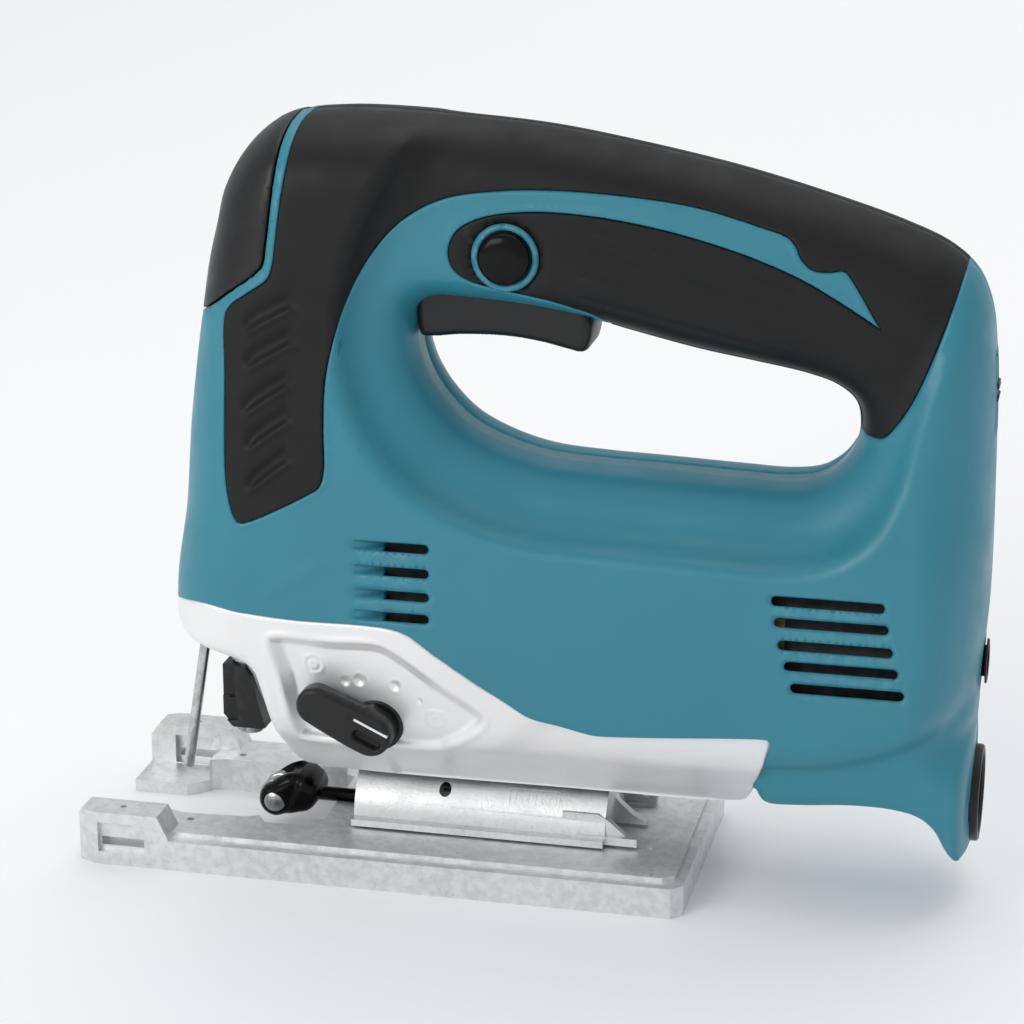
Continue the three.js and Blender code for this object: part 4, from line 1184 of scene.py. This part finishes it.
# ---------------------------------------------------------------- rear fittings and screw
def build_port():
    port = combine("hose_port", lathe(
        [(10.8, 120.4), (12.3, 120.4), (12.3, 124.4), (13.1, 124.9), (13.1, 127.4), (12.7, 128),
         (11.3, 128), (10.8, 127.3)], "x", (0, 0, PORT_Z)))
    settle(bevel(port, 0.15), "housing", "black_plastic", ["dust_port"])


def build_gland():
    """Cord bush with four ribs."""
    at = (0, 0, GLAND_Z)
    ribs = []
    for i in range(1, 5):
        x0, x1 = 116.5 + 2.4 * i, 117.9 + 2.4 * i
        ribs.append(join(lathe([(4.2, x0), (7.3, x0), (7.3, x1), (4.2, x1)], "x", at, 40)))
    gland = combine("cord_gland", lathe(
        [(4.2, 114), (9.5, 114), (9.5, 116.4), (8.8, 117.2), (6.6, 117.5), (6, 128), (4.2, 128)],
        "x", at, 40), ribs)
    settle(bevel(gland, 0.25), "housing", "soft_grip", ["cord_inlet"])


def build_dial():
    """Toothed thumb wheel with a round groove in each face."""
    at = (DIAL_X, 0, DIAL_Z)
    count = 40
    teeth = []
    for i in range(count):
        r = 11.0 if i % 2 else 10.3
        for share in (-0.42, 0.42):
            a = 2 * math.pi * (i + share) / count
            teeth.append((DIAL_X + r * math.cos(a), DIAL_Z + r * math.sin(a)))
    steps = [cut(rod(2, -5, 5, "y", at))]
    for _, s in SIDES:
        groove = [(3.6, s * 5), (8.6, s * 5), (8.6, s * 2.4), (3.6, s * 2.4)]
        steps.append(cut(lathe(groove, "y", at, 40)))
    dial = combine("thumb_dial", prism(teeth, -3, 3), steps)
    settle(bevel(dial, 0.2), "dial", "black_plastic", ["speed_dial"])


def build_nose_screw():
    x, z = -83.6, 92
    screw = combine("nose_screw", lathe(
        [(0, -12), (1.7, -12), (1.7, 12.3), (3.1, 12.3), (3.1, 13.9), (2.6, 14.4), (0, 14.4)], "y",
        (x, 0, z), 32), [cut(prism(circle(x, z, 1.5, 6), 13.2, 16))])
    settle(bevel(screw, 0.1), "housing", "steel", ["housing_screw_6"])


for build in (
    build_case, build_lever, build_trigger, build_button, build_clamp, build_guard, build_arm,
    build_roller, build_base, build_saddle, build_scale, build_port, build_gland, build_dial,
    build_nose_screw,
):
    build()
# The plunger keeps its CAD solid and gets rounded edges.
bevel(frame["nodes"]["plunger"], 1.2, 2, 60)


# ---------------------------------------------------------------- materials
def look(name, colour, rough, metal=0.0, shade=0.12, speckle=0.0, grain=(1600, 0.02), coarse=(260, 0.0),
         wear_and_edge_highlight=None, rough_vary=0.08, coat=0.0, specular=0.5, blotch=22.0):
    """Procedural finish: shade and speckle vary the colour, grain and coarse are bump
    (noise scale per metre, height in mm), and the colour given for edges is painted in patches on sharp
    convex edges: a painted edge highlight, partly wear."""
    mat = bpy.data.materials.new(name)
    mat.use_nodes = True
    tree = mat.node_tree
    link, add = tree.links.new, tree.nodes.new
    shader = tree.nodes["Principled BSDF"]
    shader.inputs["Metallic"].default_value = metal
    shader.inputs["Specular IOR Level"].default_value = specular
    if coat:
        shader.inputs["Coat Weight"].default_value = coat
        shader.inputs["Coat Roughness"].default_value = 0.08
    place = add("ShaderNodeTexCoord").outputs["Object"]

    def noise(scale, detail=3.0, soft=0.55):
        node = add("ShaderNodeTexNoise")
        node.inputs["Scale"].default_value = scale
        node.inputs["Detail"].default_value = detail
        node.inputs["Roughness"].default_value = soft
        link(place, node.inputs["Vector"])
        return node.outputs["Fac"]

    def span(value, a, b, lo, hi):
        node = add("ShaderNodeMapRange")
        for key, v in (("From Min", a), ("From Max", b), ("To Min", lo), ("To Max", hi)):
            node.inputs[key].default_value = v
        link(value, node.inputs["Value"])
        return node.outputs["Result"]

    def mix(factor, a, b, kind="MIX"):
        node = add("ShaderNodeMix")
        node.data_type = "RGBA"
        node.blend_type = kind
        for key, v in ((0, factor), (6, a), (7, b)):
            if hasattr(v, "node"):
                link(v, node.inputs[key])
            else:
                node.inputs[key].default_value = v if key == 0 else (*v, 1)
        return node.outputs[2]

    dark = tuple(c * (1 - shade) for c in colour)
    light = tuple(min(1, c * (1 + shade)) for c in colour)
    tone = mix(span(noise(blotch, 4), 0.35, 0.65, 0, 1), dark, light)
    fine = noise(grain[0], 2)
    tone = mix(span(fine, 0.3, 0.7, 0, 0.35), tone, dark)
    if speckle:
        spots = span(noise(700, 5, 0.7), 0.52, 0.66, 0, speckle)
        tone = mix(spots, tone, tuple(c * 0.45 for c in colour))
        glints = span(noise(950, 3, 0.6), 0.60, 0.70, 0, speckle)
        tone = mix(glints, tone, tuple(min(1, c * 1.25) for c in colour))
    # Lighter colour in patches on sharp convex edges: a painted edge highlight, partly wear.
    if wear_and_edge_highlight:
        edge = add("ShaderNodeNewGeometry").outputs["Pointiness"]
        edge_highlight_mask = add("ShaderNodeMath")
        edge_highlight_mask.operation = "MULTIPLY"
        link(span(edge, 0.53, 0.62, 0, 0.55), edge_highlight_mask.inputs[0])
        link(span(noise(340, 4), 0.42, 0.6, 0, 1), edge_highlight_mask.inputs[1])
        tone = mix(edge_highlight_mask.outputs[0], tone, wear_and_edge_highlight)
    link(tone, shader.inputs["Base Color"])
    link(span(noise(90, 4), 0.3, 0.7, rough - rough_vary, rough + rough_vary), shader.inputs["Roughness"])
    normal = None
    for scale, height in (coarse, grain):
        if not height:
            continue
        bump = add("ShaderNodeBump")
        bump.inputs["Strength"].default_value = 1.0
        bump.inputs["Distance"].default_value = height * MM
        link(fine if scale == grain[0] else noise(scale, 4), bump.inputs["Height"])
        if normal:
            link(normal, bump.inputs["Normal"])
        normal = bump.outputs["Normal"]
    if normal:
        link(normal, shader.inputs["Normal"])
    return mat


# Each edge colour below is a painted edge highlight, partly wear.
LOOKS = {
    "teal_shell": look("teal_plastic", (0.03, 0.215, 0.29), 0.4, grain=(1900, 0.012), shade=0.05,
                       wear_and_edge_highlight=(0.09, 0.3, 0.37), specular=0.45),
    "soft_grip": look("soft_rubber", (0.011, 0.011, 0.0115), 0.52, grain=(2300, 0.025), shade=0.16,
                      wear_and_edge_highlight=(0.035, 0.035, 0.035), specular=0.22),
    "black_plastic": look("black_plastic", (0.008, 0.008, 0.0085), 0.4, grain=(2100, 0.014),
                          wear_and_edge_highlight=(0.03, 0.03, 0.03), specular=0.38),
    "gloss_black": look("gloss_black", (0.004, 0.004, 0.0045), 0.16, grain=(1500, 0.0),
                        rough_vary=0.05, specular=0.15),
    "silver_casting": look("silver_paint", (0.86, 0.86, 0.86), 0.38, metal=0.55, shade=0.035,
                           grain=(1300, 0.02), coarse=(210, 0.03), wear_and_edge_highlight=(0.84, 0.84, 0.84)),
    "cast_aluminium": look("cast_aluminium", (0.70, 0.70, 0.70), 0.46, metal=0.85, shade=0.06, speckle=0.22,
                           grain=(1500, 0.05), coarse=(300, 0.05), wear_and_edge_highlight=(0.85, 0.85, 0.85)),
    "steel": look("steel", (0.45, 0.45, 0.46), 0.28, metal=1.0, grain=(1400, 0.008),
                  wear_and_edge_highlight=(0.7, 0.7, 0.7)),
    "iron": look("iron", (0.12, 0.12, 0.13), 0.5, metal=0.8, speckle=0.4, coarse=(400, 0.03),
                 wear_and_edge_highlight=(0.4, 0.4, 0.4)),
    "bronze": look("bronze", (0.4, 0.24, 0.06), 0.42, metal=0.9, speckle=0.3, wear_and_edge_highlight=(0.6, 0.42, 0.15)),
    "copper": look("copper", (0.47, 0.16, 0.06), 0.33, metal=1.0, wear_and_edge_highlight=(0.7, 0.34, 0.18)),
    "carbon": look("carbon", (0.012, 0.012, 0.013), 0.6, shade=0.2, speckle=0.3, wear_and_edge_highlight=(0.04, 0.04, 0.04)),
}
node_slot = {part["node"]: part["material_slot"] for part in frame["record"]["subparts"]}
for name, node in frame["nodes"].items():
    node.data.materials.clear()
    node.data.materials.append(LOOKS[node_slot[name]])
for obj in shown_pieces():
    if obj.name not in frame["nodes"]:
        obj.data.materials.clear()
        obj.data.materials.append(LOOKS[obj["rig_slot"]])

# ---------------------------------------------------------------- stage
def world_light(strength):
    world = bpy.data.worlds.new("studio")
    bpy.context.scene.world = world
    world.use_nodes = True
    node = world.node_tree.nodes["Background"]
    node.inputs[0].default_value = (0.95, 0.97, 1.0, 1)
    node.inputs[1].default_value = strength


def area_light(name, at, target, size, power):
    data = bpy.data.lights.new(name, "AREA")
    data.shape = "RECTANGLE"
    data.size, data.size_y = size
    data.energy = power
    obj = bpy.data.objects.new(name, data)
    obj.location = at
    obj.rotation_mode = "QUATERNION"
    obj.rotation_quaternion = (Vector(target) - Vector(at)).to_track_quat("-Z", "Y")
    bpy.context.scene.collection.objects.link(obj)
    return obj


world_light(0.6)
area_light("key", (-0.75, -1.2, 0.7), (0, 0, 0.1), (0.9, 0.7), 8)
area_light("top", (0.1, 0.5, 2.1), (0, 0, 0.1), (2.2, 2.0), 17)
area_light("back", (0.1, 3.0, 1.6), (0, 1.7, 0), (2.6, 1.2), 17).visible_glossy = False

bpy.ops.mesh.primitive_plane_add(size=6, location=(0, 0, 0))
floor = bpy.context.object
floor.name = "floor"
floor_look = bpy.data.materials.new("floor")
floor_look.use_nodes = True
floor_paint = floor_look.node_tree.nodes["Principled BSDF"].inputs
floor_paint["Base Color"].default_value = (0.93, 0.93, 0.93, 1)
floor_paint["Roughness"].default_value = 0.8
floor.data.materials.append(floor_look)

AZIMUTH, ELEVATION = math.radians(12.9), math.radians(17.7)
TARGET, DISTANCE = Vector((-0.0067, 0, 0.0982)), 0.8142
back = Vector((
    math.sin(AZIMUTH) * math.cos(ELEVATION),
    -math.cos(AZIMUTH) * math.cos(ELEVATION),
    math.sin(ELEVATION),
))
camera = bpy.data.objects.new("camera", bpy.data.cameras.new("camera"))
camera.data.lens = 105.47
camera.data.sensor_width = 36
camera.location = TARGET + back * DISTANCE
camera.rotation_mode = "QUATERNION"
camera.rotation_quaternion = (-back).to_track_quat("-Z", "Y")
bpy.context.scene.collection.objects.link(camera)
bpy.context.scene.camera = camera
bpy.context.scene.view_settings.view_transform = "Standard"
